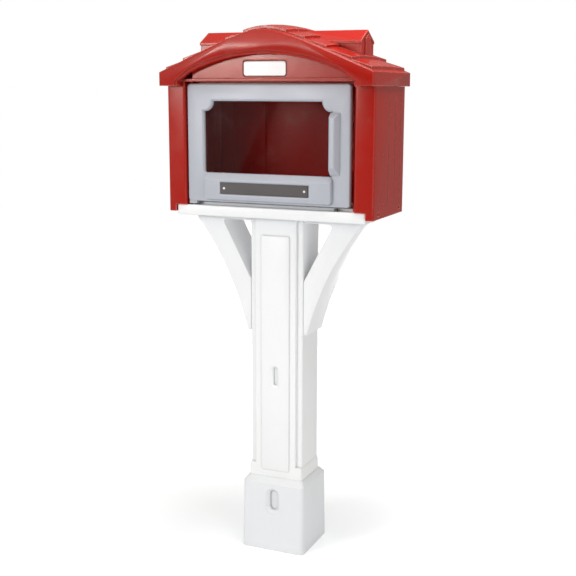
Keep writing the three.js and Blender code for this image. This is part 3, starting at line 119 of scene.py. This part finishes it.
def moulded_skin_group():
    """Moulded skin: broad cloudy patches and fine specks shift the colour and the gloss, and the
    bump is a fine pebble grain on slow waves, all noise of the object coordinate. Outer edges,
    where rays into the solid leave it soon, get a painted highlight in noise patches, inner
    corners and creases a painted shade, and a little dust lies below the dust height."""
    group, given = skin_group(
        "moulded_skin",
        {
            "Edge Radius": 0.004,
            "Colour": (0.8, 0.8, 0.8, 1),
            "Cloud Colour": (0.7, 0.7, 0.7, 1),
            "Cloud Amount": 0.3,
            "Speck Amount": 0.1,
            "Roughness": 0.4,
            "Grain Size": 0.0012,
            "Grain Depth": 0.00006,
            "Wave Depth": 0.0006,
            "Dust Height": 0.0,
            "Edge Colour": (0.9, 0.9, 0.9, 1),
            "Edge Amount": 0.0,
            "Crease Amount": 0.0,
        },
    )
    # The noises' scales are patches to the metre, and their levels are where a patch begins and
    # is full. The reaches and heights are metres.
    cloud_scale, speck_scale, dust_scale, highlight_patch_scale, wave_scale = 14, 420, 40, 90, 9
    cloud_levels, speck_levels, patchiness_levels = (0.35, 0.7), (0.3, 0.72), (0.3, 0.6)
    cloud_roughness, speck_roughness, least_highlight = 0.08, 0.03, 0.6
    dust_colour, dust_share, full_dust_below = (0.55, 0.5, 0.43, 1), 0.12, 0.2
    dust_unevenness, least_height = 0.02, 0.0001
    highlight_reach, shade_reach = 0.003, 0.006
    # The shares of free rays that count as far from a face and as close to one.
    free_rays, stopped_rays, look_rays = 0.9, 0.52, 6
    place = object_place(group)

    clouds = noise(group, place, cloud_scale, detail=4, roughness=0.6)
    cloud = ramp(group, clouds, *cloud_levels)
    patches = reckon(group, "MULTIPLY", cloud, given["Cloud Amount"])
    colour = mix_colours(group, patches, given["Colour"], given["Cloud Colour"])
    speck = ramp(group, noise(group, place, speck_scale), *speck_levels, -1, 1)
    specks = reckon(group, "MULTIPLY", speck, given["Speck Amount"])
    colour = dim(group, colour, reckon(group, "ADD", specks, 1.0))

    height = add_node(group, "ShaderNodeSeparateXYZ", {"Vector": place}).outputs["Z"]
    drift = noise(group, place, dust_scale, detail=5)
    drift = reckon(group, "MULTIPLY", drift, dust_unevenness)
    dust_height = reckon(group, "MAXIMUM", given["Dust Height"], least_height)
    height_share = reckon(group, "DIVIDE", reckon(group, "ADD", height, drift), dust_height)
    dust = ramp(group, height_share, full_dust_below, 1.0, dust_share, 0.0)
    colour = mix_colours(group, dust, colour, dust_colour)

    def nearness(inward, reach):
        """1 where most rays from the point, inwards or outwards, meet a face within the reach."""
        settings = {"inside": inward, "only_local": True, "samples": look_rays}
        node = add_node(group, "ShaderNodeAmbientOcclusion", {"Distance": reach}, **settings)
        return ramp(group, node.outputs["AO"], free_rays, stopped_rays)

    # Painted highlight: outer edges are painted a lighter colour, broken up by noise patches.
    painted_highlight = reckon(group, "MULTIPLY", nearness(True, highlight_reach), given["Edge Amount"])
    patchiness = noise(group, place, highlight_patch_scale, detail=3)
    patchiness = ramp(group, patchiness, *patchiness_levels, least_highlight, 1.0)
    painted_highlight = reckon(group, "MULTIPLY", painted_highlight, patchiness)
    colour = mix_colours(group, painted_highlight, colour, given["Edge Colour"])
    # Painted shade: inner corners and creases are darkened where nearby faces close them in.
    crease = reckon(group, "MULTIPLY", nearness(False, shade_reach), given["Crease Amount"])
    colour = dim(group, colour, reckon(group, "SUBTRACT", 1.0, crease))

    cloud_shift = reckon(group, "SUBTRACT", cloud, 0.5)
    cloud_shift = reckon(group, "MULTIPLY", cloud_shift, cloud_roughness)
    roughness = reckon(group, "ADD", given["Roughness"], cloud_shift)
    speck_shift = reckon(group, "MULTIPLY", speck, speck_roughness)
    roughness = reckon(group, "ADD", roughness, speck_shift)

    grain = noise(group, place, reckon(group, "DIVIDE", 1.0, given["Grain Size"]))
    grain = reckon(group, "MULTIPLY", grain, given["Grain Depth"])
    wave = reckon(group, "MULTIPLY", noise(group, place, wave_scale), given["Wave Depth"])
    soft_edge = add_node(
        group, "ShaderNodeBevel", {"Radius": given["Edge Radius"]}, samples=look_rays
    )
    relief = {
        "Height": reckon(group, "ADD", grain, wave),
        "Distance": 1.0,
        "Normal": soft_edge.outputs["Normal"],
    }
    normal = add_node(group, "ShaderNodeBump", relief).outputs["Normal"]
    put_out = {"Colour": colour, "Roughness": roughness, "Normal": normal}
    add_node(group, "NodeGroupOutput", put_out)
    return group


moulded_skin = moulded_skin_group()


def skinned_material(name, group, values):
    """A material whose skin group, with its own values, drives the colour, the roughness and the
    normal of one Principled shader."""
    material = bpy.data.materials.new(name)
    material.use_nodes = True
    tree = material.node_tree
    shader = tree.nodes["Principled BSDF"]
    skin = tree.nodes.new("ShaderNodeGroup")
    skin.node_tree = group
    for key, value in values.items():
        value = (*value, 1) if isinstance(value, tuple) else value
        skin.inputs[key.replace("_", " ").title()].default_value = value
    for output, target in (
        ("Colour", "Base Color"),
        ("Roughness", "Roughness"),
        ("Normal", "Normal"),
    ):
        tree.links.new(skin.outputs[output], shader.inputs[target])
    return material


def plastic(name, shine=0.5, gleam=(1.0, 1.0, 1.0), **values):
    """A moulded plastic. Its shine and the tint of its gleam stand on the shader's own sockets."""
    material = skinned_material(name, moulded_skin, values)
    shader = material.node_tree.nodes["Principled BSDF"]
    shader.inputs["Specular IOR Level"].default_value = shine
    shader.inputs["Specular Tint"].default_value = (*gleam, 1)
    return material


def smooth_shading_group(sharp_from):
    """Shade smooth wherever two faces meet at less than the given angle, and sharp elsewhere."""
    group = bpy.data.node_groups.new("moulded_shading", "GeometryNodeTree")
    for direction in ("INPUT", "OUTPUT"):
        group.interface.new_socket(
            "Geometry", in_out=direction, socket_type="NodeSocketGeometry"
        )
    given = add_node(group, "NodeGroupInput", {}).outputs["Geometry"]
    angle = add_node(group, "GeometryNodeInputMeshEdgeAngle", {}).outputs["Unsigned Angle"]
    limits = {"A": angle, "B": sharp_from}
    gentle = add_node(group, "FunctionNodeCompare", limits, operation="LESS_EQUAL")
    faces = add_node(group, "GeometryNodeSetShadeSmooth", {"Geometry": given})
    edge_inputs = {
        "Geometry": faces.outputs["Geometry"],
        "Shade Smooth": gentle.outputs["Result"],
    }
    edges = add_node(group, "GeometryNodeSetShadeSmooth", edge_inputs, domain="EDGE")
    add_node(group, "NodeGroupOutput", {"Geometry": edges.outputs["Geometry"]})
    return group


moulded_shading = smooth_shading_group(sharp_from=np.radians(33.0))


def finish_node(name, material, round_by=0.0):
    """A CAD node keeps its shape: its loose triangles are welded, its flat faces merged, its edges
    rounded by a small radius when one is given, and its curves shaded smooth."""
    weld_distance = 0.00002
    flat_below, bevel_above = np.radians(0.6), np.radians(35.0)
    piece = nodes[name]
    piece.data.materials.clear()
    piece.data.materials.append(material)
    weld = piece.modifiers.new("weld", "WELD")
    weld.merge_threshold = weld_distance
    flat = piece.modifiers.new("flat faces", "DECIMATE")
    flat.decimate_type = "DISSOLVE"
    flat.angle_limit = flat_below
    if round_by:
        bevel = piece.modifiers.new("soft edges", "BEVEL")
        bevel.width = round_by
        bevel.segments = 2
        bevel.limit_method = "ANGLE"
        bevel.angle_limit = bevel_above
    piece.modifiers.new("shading", "NODES").node_group = moulded_shading


white_skin = {
    "cloud_amount": 0.5,
    "speck_amount": 0.015,
    "grain_size": 0.0016,
    "grain_depth": 0.00005,
    "wave_depth": 0.0008,
    "edge_amount": 0.6,
    "crease_amount": 0.25,
}
# The collar is a greyer copy of the white plastic: partly its own tone as a separate moulding,
# partly painted shade for the weaker light near the ground.
collar_plastic = plastic(
    "collar_plastic",
    colour=(0.785, 0.8, 0.828),
    cloud_colour=(0.76, 0.775, 0.798),
    edge_colour=(0.85, 0.86, 0.87),
    roughness=0.45,
    dust_height=0.03,
    **white_skin,
)
finish_node("base_collar", collar_plastic)

# Post sleeve.
# A hollow white polyethylene moulding that slides down over the timber post, with a raised panel
# on its front and a band round its foot that stands in the collar.
white_plastic = plastic(
    "white_plastic",
    colour=(0.89, 0.903, 0.92),
    cloud_colour=(0.87, 0.88, 0.895),
    edge_colour=(0.96, 0.965, 0.97),
    roughness=0.42,
    dust_height=0.5,
    **white_skin,
)
finish_node("post_sleeve", white_plastic)

# Brackets.
# Two bowed white mouldings, each with an open triangle. Their tongues hook into the sleeve's
# sides, and two screws hold each one to the platform above.
for bracket in ("left_brace", "right_brace"):
    finish_node(bracket, white_plastic)

# Platform.
# The white moulded tray on top of the post, which is the floor of the box and a step before the
# door. Four screws hold it down to the sleeve.
finish_node("platform", white_plastic)

# Box shell.
# Red double-walled moulding with board grooves, corner posts and the header over the door. It
# stands on the platform, screwed through its skirts. Its inner faces are a brighter red: painted
# light, standing in for the light that comes in through the window.
red_plastic = plastic(
    "red_plastic",
    colour=(0.375, 0.0105, 0.0055),
    cloud_colour=(0.335, 0.009, 0.005),
    edge_colour=(0.85, 0.24, 0.19),
    shine=0.38,
    gleam=(1.0, 0.9, 0.82),
    roughness=0.24,
    edge_amount=0.85,
    crease_amount=0.5,
    cloud_amount=0.6,
    speck_amount=0.035,
    grain_size=0.0014,
    grain_depth=0.000025,
    wave_depth=0.0007,
)


def lay_over(material, mask, colour):
    """Another colour on a skinned material where the mask is 1."""
    tree = material.node_tree
    skin = next(node for node in tree.nodes if node.type == "GROUP")
    mixed = mix_colours(tree, mask, skin.outputs["Colour"], (*colour, 1))
    tree.links.new(mixed, tree.nodes["Principled BSDF"].inputs["Base Color"])


def box_mask(tree, middle, half_size):
    """1 inside a box and 0 outside it: the greatest part of |p - middle| - half_size is under 0."""
    offset = reckon_place(tree, "SUBTRACT", object_place(tree), middle)
    beyond = reckon_place(tree, "SUBTRACT", reckon_place(tree, "ABSOLUTE", offset), half_size)
    parts = add_node(tree, "ShaderNodeSeparateXYZ", {"Vector": beyond}).outputs
    greatest = reckon(tree, "MAXIMUM", parts["X"], parts["Y"])
    greatest = reckon(tree, "MAXIMUM", greatest, parts["Z"])
    return reckon(tree, "LESS_THAN", greatest, 0.0)


shell_plastic = red_plastic.copy()
shell_plastic.name = "shell_plastic"
skin = next(node for node in shell_plastic.node_tree.nodes if node.type == "GROUP")
# A stronger painted shade in the shell's grooves and corners.
skin.inputs["Crease Amount"].default_value = 0.8
# Painted light: inside the box the red is brighter than outside.
room_middle, room_half_size = (0.0, 0.025, 1.2), (0.306, 0.131, 0.24)
painted_light_red = (0.5, 0.01, 0.006)
book_room = box_mask(shell_plastic.node_tree, room_middle, room_half_size)
lay_over(shell_plastic, book_room, painted_light_red)
finish_node("box_shell", shell_plastic)

# Roof.
# One red moulding: arched fascias with a rounded lip, five shingle courses on each slope and two
# dormers. Four screws hold it from inside the shell's top corners.
finish_node("roof", red_plastic)

# Badge plate.
# A small white moulded plate, set in its seat in the header over the door and left blank.
badge_plastic = plastic(
    "badge_plastic",
    colour=(0.88, 0.87, 0.87),
    cloud_colour=(0.84, 0.83, 0.83),
    roughness=0.3,
    cloud_amount=0.3,
    speck_amount=0.01,
    grain_depth=0.00002,
    wave_depth=0.0001,
)
finish_node("badge_plate", badge_plastic)

# Door frame.
# One grey moulding with the window opening, the pad and sill under it and the pull on its right.
# It turns on two pins at its left edge.
grey_plastic = plastic(
    "grey_plastic",
    colour=(0.46, 0.48, 0.54),
    cloud_colour=(0.43, 0.45, 0.508),
    edge_colour=(0.68, 0.69, 0.74),
    roughness=0.36,
    edge_amount=0.6,
    crease_amount=0.35,
    cloud_amount=0.5,
    speck_amount=0.03,
    grain_size=0.0014,
    grain_depth=0.00006,
    wave_depth=0.0006,
)
finish_node("door_frame", grey_plastic)

# Window pane.
# Clear polycarbonate sheet, screwed into the rebate at the door's back. Wiping has left it with
# fine upright streaks and smears, where it is a little less glossy.
clear_sheet = bpy.data.materials.new("clear_sheet")
clear_sheet.use_nodes = True
tree = clear_sheet.node_tree
glass = tree.nodes["Principled BSDF"]
glass.inputs["Base Color"].default_value = (0.97, 0.98, 0.98, 1)
glass.inputs["Transmission Weight"].default_value = 1.0
glass.inputs["IOR"].default_value = 1.5
glass.inputs["Specular IOR Level"].default_value = 0.25
streak_lean, streak_stretch = (0.0, 0.08, 0.0), (1.0, 1.0, 0.04)
streak_scale, smear_scale, patchiness_levels = 260, 9, (0.22, 0.4)
clean_roughness, worn_roughness = 0.01, 0.07
place = object_place(tree)
wiped = {"Vector": place, "Rotation": streak_lean, "Scale": streak_stretch}
wiped_place = add_node(tree, "ShaderNodeMapping", wiped).outputs["Vector"]
streaks = noise(tree, wiped_place, streak_scale, detail=3)
smears = noise(tree, place, smear_scale, detail=4)
patchiness = reckon(tree, "MULTIPLY", streaks, smears)
roughness = ramp(tree, patchiness, *patchiness_levels, clean_roughness, worn_roughness)
tree.links.new(roughness, glass.inputs["Roughness"])
finish_node("window_pane", clear_sheet)

# Name plate.
# A thin dark plastic plate, set in a sunk seat on the door's pad. It is blank but for a plain
# white dot at each end.
plate_plastic = plastic(
    "plate_plastic",
    colour=(0.08, 0.071, 0.071),
    cloud_colour=(0.068, 0.06, 0.061),
    roughness=0.45,
    cloud_amount=0.5,
    speck_amount=0.05,
    grain_depth=0.00003,
    wave_depth=0.0001,
)


def end_dots_mask(tree, middle, reach, radius):
    """1 on two round dots: where the distance from (|x - x0|, z - z0) to (reach, 0) is less than
    the radius, with a rim that fades over a small share of it."""
    rim = 0.07
    offset = reckon_place(tree, "SUBTRACT", object_place(tree), middle)
    folded = reckon_place(tree, "MULTIPLY", reckon_place(tree, "ABSOLUTE", offset), (1, 0, 1))
    distance = reckon_place(tree, "DISTANCE", folded, (reach, 0, 0), result="Value")
    return ramp(tree, distance, radius * (1 - rim), radius * (1 + rim), 1.0, 0.0)


dot_inset, dot_radius = 0.012, 0.0034
dot_white = (0.82, 0.82, 0.82)
plate_low, plate_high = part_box("name_plate")
dot_reach = (plate_high.x - plate_low.x) / 2 - dot_inset
plate_middle = (plate_low + plate_high) / 2
dots = end_dots_mask(plate_plastic.node_tree, plate_middle, dot_reach, dot_radius)
lay_over(plate_plastic, dots, dot_white)
finish_node("name_plate", plate_plastic)


# Hinge pins and washer.
# The upper pin is a red moulded plug with its head in the header's notch. The lower one, in the
# platform, is of zinc-plated steel, and the door turns on a dark plastic washer round it.
def plated_skin_group():
    """Electroplated steel: crystals of about 1.5 mm shift the colour a little, tarnish gathers in
    noise patches of 5 mm, where the surface is also rougher, and the bump is a fine brushing."""
    group, given = skin_group(
        "plated_skin",
        {"Colour": (0.7, 0.71, 0.72, 1), "Tarnish Colour": (0.4, 0.38, 0.35, 1)},
    )
    crystal_scale, patch_scale, brush_scale = 650, 200, 1600
    patch_levels = (0.42, 0.68)
    dark_crystal, bright_crystal = 0.86, 1.08
    clean_roughness, tarnished_roughness = 0.27, 0.5
    brush_depth = 0.00002
    place = object_place(group)
    patches = ramp(group, noise(group, place, patch_scale, detail=3), *patch_levels)
    colour = mix_colours(group, patches, given["Colour"], given["Tarnish Colour"])
    crystals = {"Vector": place, "Scale": crystal_scale}
    crystal = add_node(group, "ShaderNodeTexVoronoi", crystals).outputs["Color"]
    shade = ramp(group, crystal, 0.0, 1.0, dark_crystal, bright_crystal)
    colour = dim(group, colour, shade)
    roughness = ramp(group, patches, 0.0, 1.0, clean_roughness, tarnished_roughness)
    brushing = {"Height": noise(group, place, brush_scale), "Distance": brush_depth}
    normal = add_node(group, "ShaderNodeBump", brushing).outputs["Normal"]
    put_out = {"Colour": colour, "Roughness": roughness, "Normal": normal}
    add_node(group, "NodeGroupOutput", put_out)
    return group


plated_skin = plated_skin_group()


def plated(name, **values):
    """A plated steel: the plated skin on a metallic shader."""
    material = skinned_material(name, plated_skin, values)
    material.node_tree.nodes["Principled BSDF"].inputs["Metallic"].default_value = 1.0
    return material


zinc_steel = plated(
    "zinc_steel", colour=(0.72, 0.73, 0.74), tarnish_colour=(0.55, 0.53, 0.48)
)
dark_plastic = plastic(
    "dark_plastic",
    colour=(0.09, 0.085, 0.08),
    cloud_colour=(0.07, 0.066, 0.06),
    roughness=0.55,
)
finish_node("upper_hinge_pin", red_plastic)
finish_node("lower_hinge_pin", zinc_steel, round_by=0.0004)
finish_node("hinge_washer", dark_plastic)

# Catch.
# A dark coated magnet in a bore at the door's lower corner, and under it on the platform its
# keeper, a small dark block.
finish_node("door_magnet", dark_plastic)
finish_node("catch_keeper", dark_plastic)


# Platform screws.
# Four zinc-plated steel screws with domed heads and cross recesses, driven down through the
# platform into the sleeve. The other screws are made by the same function, in other sizes.
def threaded_screw(
    name, body, facing, head_radius, head_height, thread_radius, pitch, tip, material
):
    """A closed grid over rows (depth s below the head's top, radius r) and the angle a. Head: the
    dome falls by the cube of f at r = head_radius f, for f from 0 to 1, and is sunk inside a cross
    of two arms. Shank: r is thread_radius times 1 less thread_depth |2 frac(s / pitch - a / 2 pi)
    - 1|, and falls to 0 over the tip. A fan closes each end."""
    columns, rows_a_turn = 40, 6
    dome_drop, recess_depth = 0.45 * head_height, 0.55 * head_height
    # The cross, in head radii: its arms' half width and length, and how far their walls slope.
    arm_half_width, arm_length, side_slope, end_slope = 0.16, 0.55, 0.05, 0.08
    thread_depth = 0.22
    blunt_end = tip * 0.1

    low, high = (np.array(corner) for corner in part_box(name))
    axis = np.array(facing, dtype=float)
    across = np.roll(axis, 1)
    along = np.cross(axis, across)
    length = (high - low) @ np.abs(axis)
    top = (low + high) / 2 + axis * length / 2

    # The dome's rows by their radius, and the rim's by depth and radius, as shares of the head's.
    dome = np.array([0.06, 0.13, 0.2, 0.27, 0.34, 0.42, 0.5, 0.58, 0.68, 0.8, 0.9, 0.96, 1.0])
    rim_depth, rim_radius = np.array([0.7, 0.92, 1.0]), np.array([1.0, 0.99, 0.95])
    shank = np.arange(head_height, length - blunt_end, pitch / rows_a_turn)
    depth = np.concatenate([dome_drop * dome**3, head_height * rim_depth, shank])
    radius = np.concatenate(
        [head_radius * dome, head_radius * rim_radius, np.full(len(shank), thread_radius)]
    )
    row = np.arange(len(depth))[:, None]
    angle = np.arange(columns) * 2 * np.pi / columns
    s, a = np.meshgrid(depth, angle, indexing="ij")
    r = np.broadcast_to(radius[:, None], s.shape)

    x, y = np.abs(r * np.cos(a)) / head_radius, np.abs(r * np.sin(a)) / head_radius
    between_sides = np.clip((arm_half_width - np.minimum(x, y)) / side_slope, 0, 1)
    before_end = np.clip((arm_length - np.maximum(x, y)) / end_slope, 0, 1)
    in_cross = between_sides * before_end
    s = np.where(row < len(dome), s + recess_depth * in_cross, s)
    groove = np.abs(2 * ((s / pitch - a / (2 * np.pi)) % 1.0) - 1)
    taper = np.clip((length - s) / tip, 0, 1)
    in_shank = row >= len(dome) + len(rim_depth)
    r = np.where(in_shank, r * (1 - thread_depth * groove) * taper, r)
    rings = (
        top
        - s[..., None] * axis
        + (r * np.cos(a))[..., None] * across
        + (r * np.sin(a))[..., None] * along
    ).reshape(-1, 3)
    points = np.vstack([rings, top - axis * recess_depth, top - axis * length])

    i, j = np.meshgrid(np.arange(len(depth) - 1) * columns, np.arange(columns), indexing="ij")
    k = (j + 1) % columns
    quads = np.stack([i + j, i + columns + j, i + columns + k, i + k], axis=-1).reshape(-1, 4)
    j, k = j[0], k[0]
    last_row = (len(depth) - 1) * columns
    top_point, end_point = np.full(columns, len(rings)), np.full(columns, len(rings) + 1)
    top_fan = np.stack([top_point, j, k], axis=-1)
    end_fan = np.stack([end_point, last_row + k, last_row + j], axis=-1)
    mesh = bpy.data.meshes.new(name + "_threaded")
    mesh.from_pydata(points.tolist(), [], quads.tolist() + top_fan.tolist() + end_fan.tolist())
    mesh.materials.append(material)
    piece = bpy.data.objects.new(name + "_threaded", mesh)
    bpy.context.scene.collection.objects.link(piece)
    piece.modifiers.new("shading", "NODES").node_group = moulded_shading
    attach(piece, body)
    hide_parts(name)


for number in (1, 2, 3, 4):
    threaded_screw(
        f"platform_screw_{number}",
        "box",
        facing=(0, 0, 1),
        head_radius=0.007,
        head_height=0.004,
        thread_radius=0.003,
        pitch=0.0026,
        tip=0.006,
        material=zinc_steel,
    )

# Bracket screws.
# Zinc-plated steel, two for each bracket, driven up through its top flange into the platform.
# The skirt screws and the roof screws have the same thread.
box_thread = {"thread_radius": 0.0026, "pitch": 0.0022, "tip": 0.0052}
for number in (1, 2, 3, 4):
    threaded_screw(
        f"brace_screw_{number}",
        "box",
        facing=(0, 0, -1),
        head_radius=0.006,
        head_height=0.0035,
        material=zinc_steel,
        **box_thread,
    )

# Skirt screws.
# Two at each side, driven through recesses of the shell's skirt into the platform. Their steel is
# blackened, so that they don't show, and its dark colour is partly painted shade, standing in
# for the shade inside the recesses.
black_steel = plated(
    "black_steel", colour=(0.1, 0.09, 0.085), tarnish_colour=(0.16, 0.11, 0.08)
)
for number, outward in ((1, -1), (2, -1), (3, 1), (4, 1)):
    threaded_screw(
        f"skirt_screw_{number}",
        "box",
        facing=(outward, 0, 0),
        head_radius=0.005,
        head_height=0.003,
        material=black_steel,
        **box_thread,
    )

# Roof screws.
# Four of zinc-plated steel, driven up through the lugs in the shell's top corners into the roof.
for number in (1, 2, 3, 4):
    threaded_screw(
        f"roof_screw_{number}",
        "box",
        facing=(0, 0, -1),
        head_radius=0.0065,
        head_height=0.004,
        material=zinc_steel,
        **box_thread,
    )

# Pane screws.
# Six short ones of zinc-plated steel at the door's back, which clamp the pane into its rebate.
for number in (1, 2, 3, 4, 5, 6):
    threaded_screw(
        f"pane_screw_{number}",
        "door",
        facing=(0, 1, 0),
        head_radius=0.004,
        head_height=0.0024,
        thread_radius=0.0016,
        pitch=0.0014,
        tip=0.0032,
        material=zinc_steel,
    )

# Floor.
# A plain white studio floor, matt, which keeps the object's soft shadow. The camera sees it
# brightened, less near the foot, where the shadow is, than farther out.
floor_reach = 7.0
corners = [(x * floor_reach, y * floor_reach, 0) for x, y in ((-1, -1), (1, -1), (1, 1), (-1, 1))]
floor_mesh = bpy.data.meshes.new("floor")
floor_mesh.from_pydata(corners, [], [(0, 1, 2, 3)])
floor = bpy.data.objects.new("floor", floor_mesh)
bpy.context.scene.collection.objects.link(floor)
floor_paint = bpy.data.materials.new("floor_paint")
floor_paint.use_nodes = True
tree = floor_paint.node_tree
paint = tree.nodes["Principled BSDF"]
paint.inputs["Base Color"].default_value = (0.92, 0.94, 0.97, 1)
paint.inputs["Roughness"].default_value = 0.9
paint.inputs["Specular IOR Level"].default_value = 0.0
paint.inputs["Emission Color"].default_value = (1, 1, 1, 1)


def straight_view(tree):
    """1 for a ray from the camera or one that has only passed through clear sheet, and 0 once the
    ray has bounced off anything: the greater of Is Camera Ray and Is Transmission Ray, the latter
    times 1 less the diffuse and glossy depths."""
    path = add_node(tree, "ShaderNodeLightPath", {}).outputs
    bounces = reckon(tree, "ADD", path["Diffuse Depth"], path["Glossy Depth"])
    unbounced = reckon(tree, "SUBTRACT", 1.0, bounces, use_clamp=True)
    through = reckon(tree, "MULTIPLY", path["Is Transmission Ray"], unbounced)
    return reckon(tree, "MAXIMUM", path["Is Camera Ray"], through)


near, far = 0.35, 1.6
near_lift, far_lift = 0.2, 0.8
distance = reckon_place(tree, "LENGTH", object_place(tree), result="Value")
lift = ramp(tree, distance, near, far, near_lift, far_lift)
lift = reckon(tree, "MULTIPLY", straight_view(tree), lift)
tree.links.new(lift, paint.inputs["Emission Strength"])
floor_mesh.materials.append(floor_paint)

# Light.
# A pale room with a dark opening on the viewer's side, which is what the pane reflects, and soft
# lamps: at the front left, overhead, low at the right and behind, and a dim panel for the pane.
studio = bpy.data.worlds.new("studio")
bpy.context.scene.world = studio
studio.use_nodes = True
tree = studio.node_tree
sky = tree.nodes["Background"]
direction = add_node(tree, "ShaderNodeTexCoord", {}).outputs["Generated"]
toward = add_node(tree, "ShaderNodeSeparateXYZ", {"Vector": direction}).outputs


def room_fade(value, low, high, to_low, to_high):
    """A smooth step of a direction's coordinate from one brightness to another."""
    return ramp(tree, value, low, high, to_low, to_high, interpolation_type="SMOOTHSTEP")


front_level, back_level, wall_turn = 0.72, 0.3, 0.35
# Where the dark opening fades out, by a direction's part sideways, upwards and backwards.
side_fade, top_fade, back_fade = (0.5, 0.75), (0.05, 0.3), (-0.6, -0.2)
opening_depth = 0.96
room_tint, plain_white = (1.0, 0.965, 0.9, 1), (1.0, 1.0, 1.0, 1)
wall = room_fade(toward["Y"], -wall_turn, wall_turn, front_level, back_level)
sideways = room_fade(reckon(tree, "ABSOLUTE", toward["X"]), *side_fade, 1.0, 0.0)
low_down = room_fade(toward["Z"], *top_fade, 1.0, 0.0)
in_front = room_fade(toward["Y"], *back_fade, 1.0, 0.0)
opening = reckon(tree, "MULTIPLY", reckon(tree, "MULTIPLY", sideways, low_down), in_front)
darkness = reckon(tree, "MULTIPLY", opening, opening_depth)
room = reckon(tree, "MULTIPLY", wall, reckon(tree, "SUBTRACT", 1.0, darkness))
seen = straight_view(tree)
tree.links.new(reckon(tree, "MAXIMUM", seen, room), sky.inputs["Strength"])
tree.links.new(mix_colours(tree, seen, room_tint, plain_white), sky.inputs["Color"])


def soft_lamp(name, place, aim, size, power, turn=0.0):
    """A rectangular area lamp that faces a point, turned about its own axis."""
    lamp = bpy.data.lights.new(name, "AREA")
    lamp.shape = "RECTANGLE"
    lamp.size, lamp.size_y = size
    lamp.energy = power
    holder = bpy.data.objects.new(name, lamp)
    holder.location = place
    holder.rotation_mode = "QUATERNION"
    facing = (Vector(aim) - Vector(place)).to_track_quat("-Z", "Y")
    holder.rotation_quaternion = facing @ Quaternion((0, 0, 1), turn)
    holder.visible_camera = False
    bpy.context.scene.collection.objects.link(holder)


soft_lamp("front_lamp", (-1.5, -3.0, 2.15), aim=(0, 0, 1.3), size=(1.7, 1.4), power=15)
soft_lamp("strip_lamp", (-1.65, -3.0, 1.72), aim=(0, 0, 1.45), size=(0.9, 0.34), power=27)
soft_lamp("overhead_lamp", (0.45, -0.1, 2.45), aim=(0.05, 0, 1.3), size=(0.9, 0.8), power=22)
soft_lamp("low_right_lamp", (1.9, -1.4, 0.4), aim=(0, 0, 0.9), size=(1.2, 0.7), power=8)
soft_lamp("low_back_lamp", (-0.5, 2.5, 0.45), aim=(0, 0, 0.9), size=(1.6, 0.8), power=26)
soft_lamp(
    "dim_panel", (-2.09, -2.95, 1.03), aim=(0, 0, 1.1), size=(1.1, 1.1), power=0.35, turn=-0.45
)

# Camera.
# The place, turn and lens that were fitted to the edges of the box in the photograph.
eye = Vector((1.22531, -2.79464, 1.39512))
target = Vector((0.01026, -0.00215, 0.8078))
roll = 0.00251
film_width, lens_length = 36.0, 64.29
camera_data = bpy.data.cameras.new("camera")
camera_data.sensor_width = film_width
camera_data.lens = lens_length
camera = bpy.data.objects.new("camera", camera_data)
camera.location = eye
camera.rotation_mode = "QUATERNION"
camera.rotation_quaternion = (target - eye).to_track_quat("-Z", "Y") @ Quaternion((0, 0, 1), roll)
bpy.context.scene.collection.objects.link(camera)
bpy.context.scene.camera = camera
bpy.context.scene.view_settings.view_transform = "Standard"
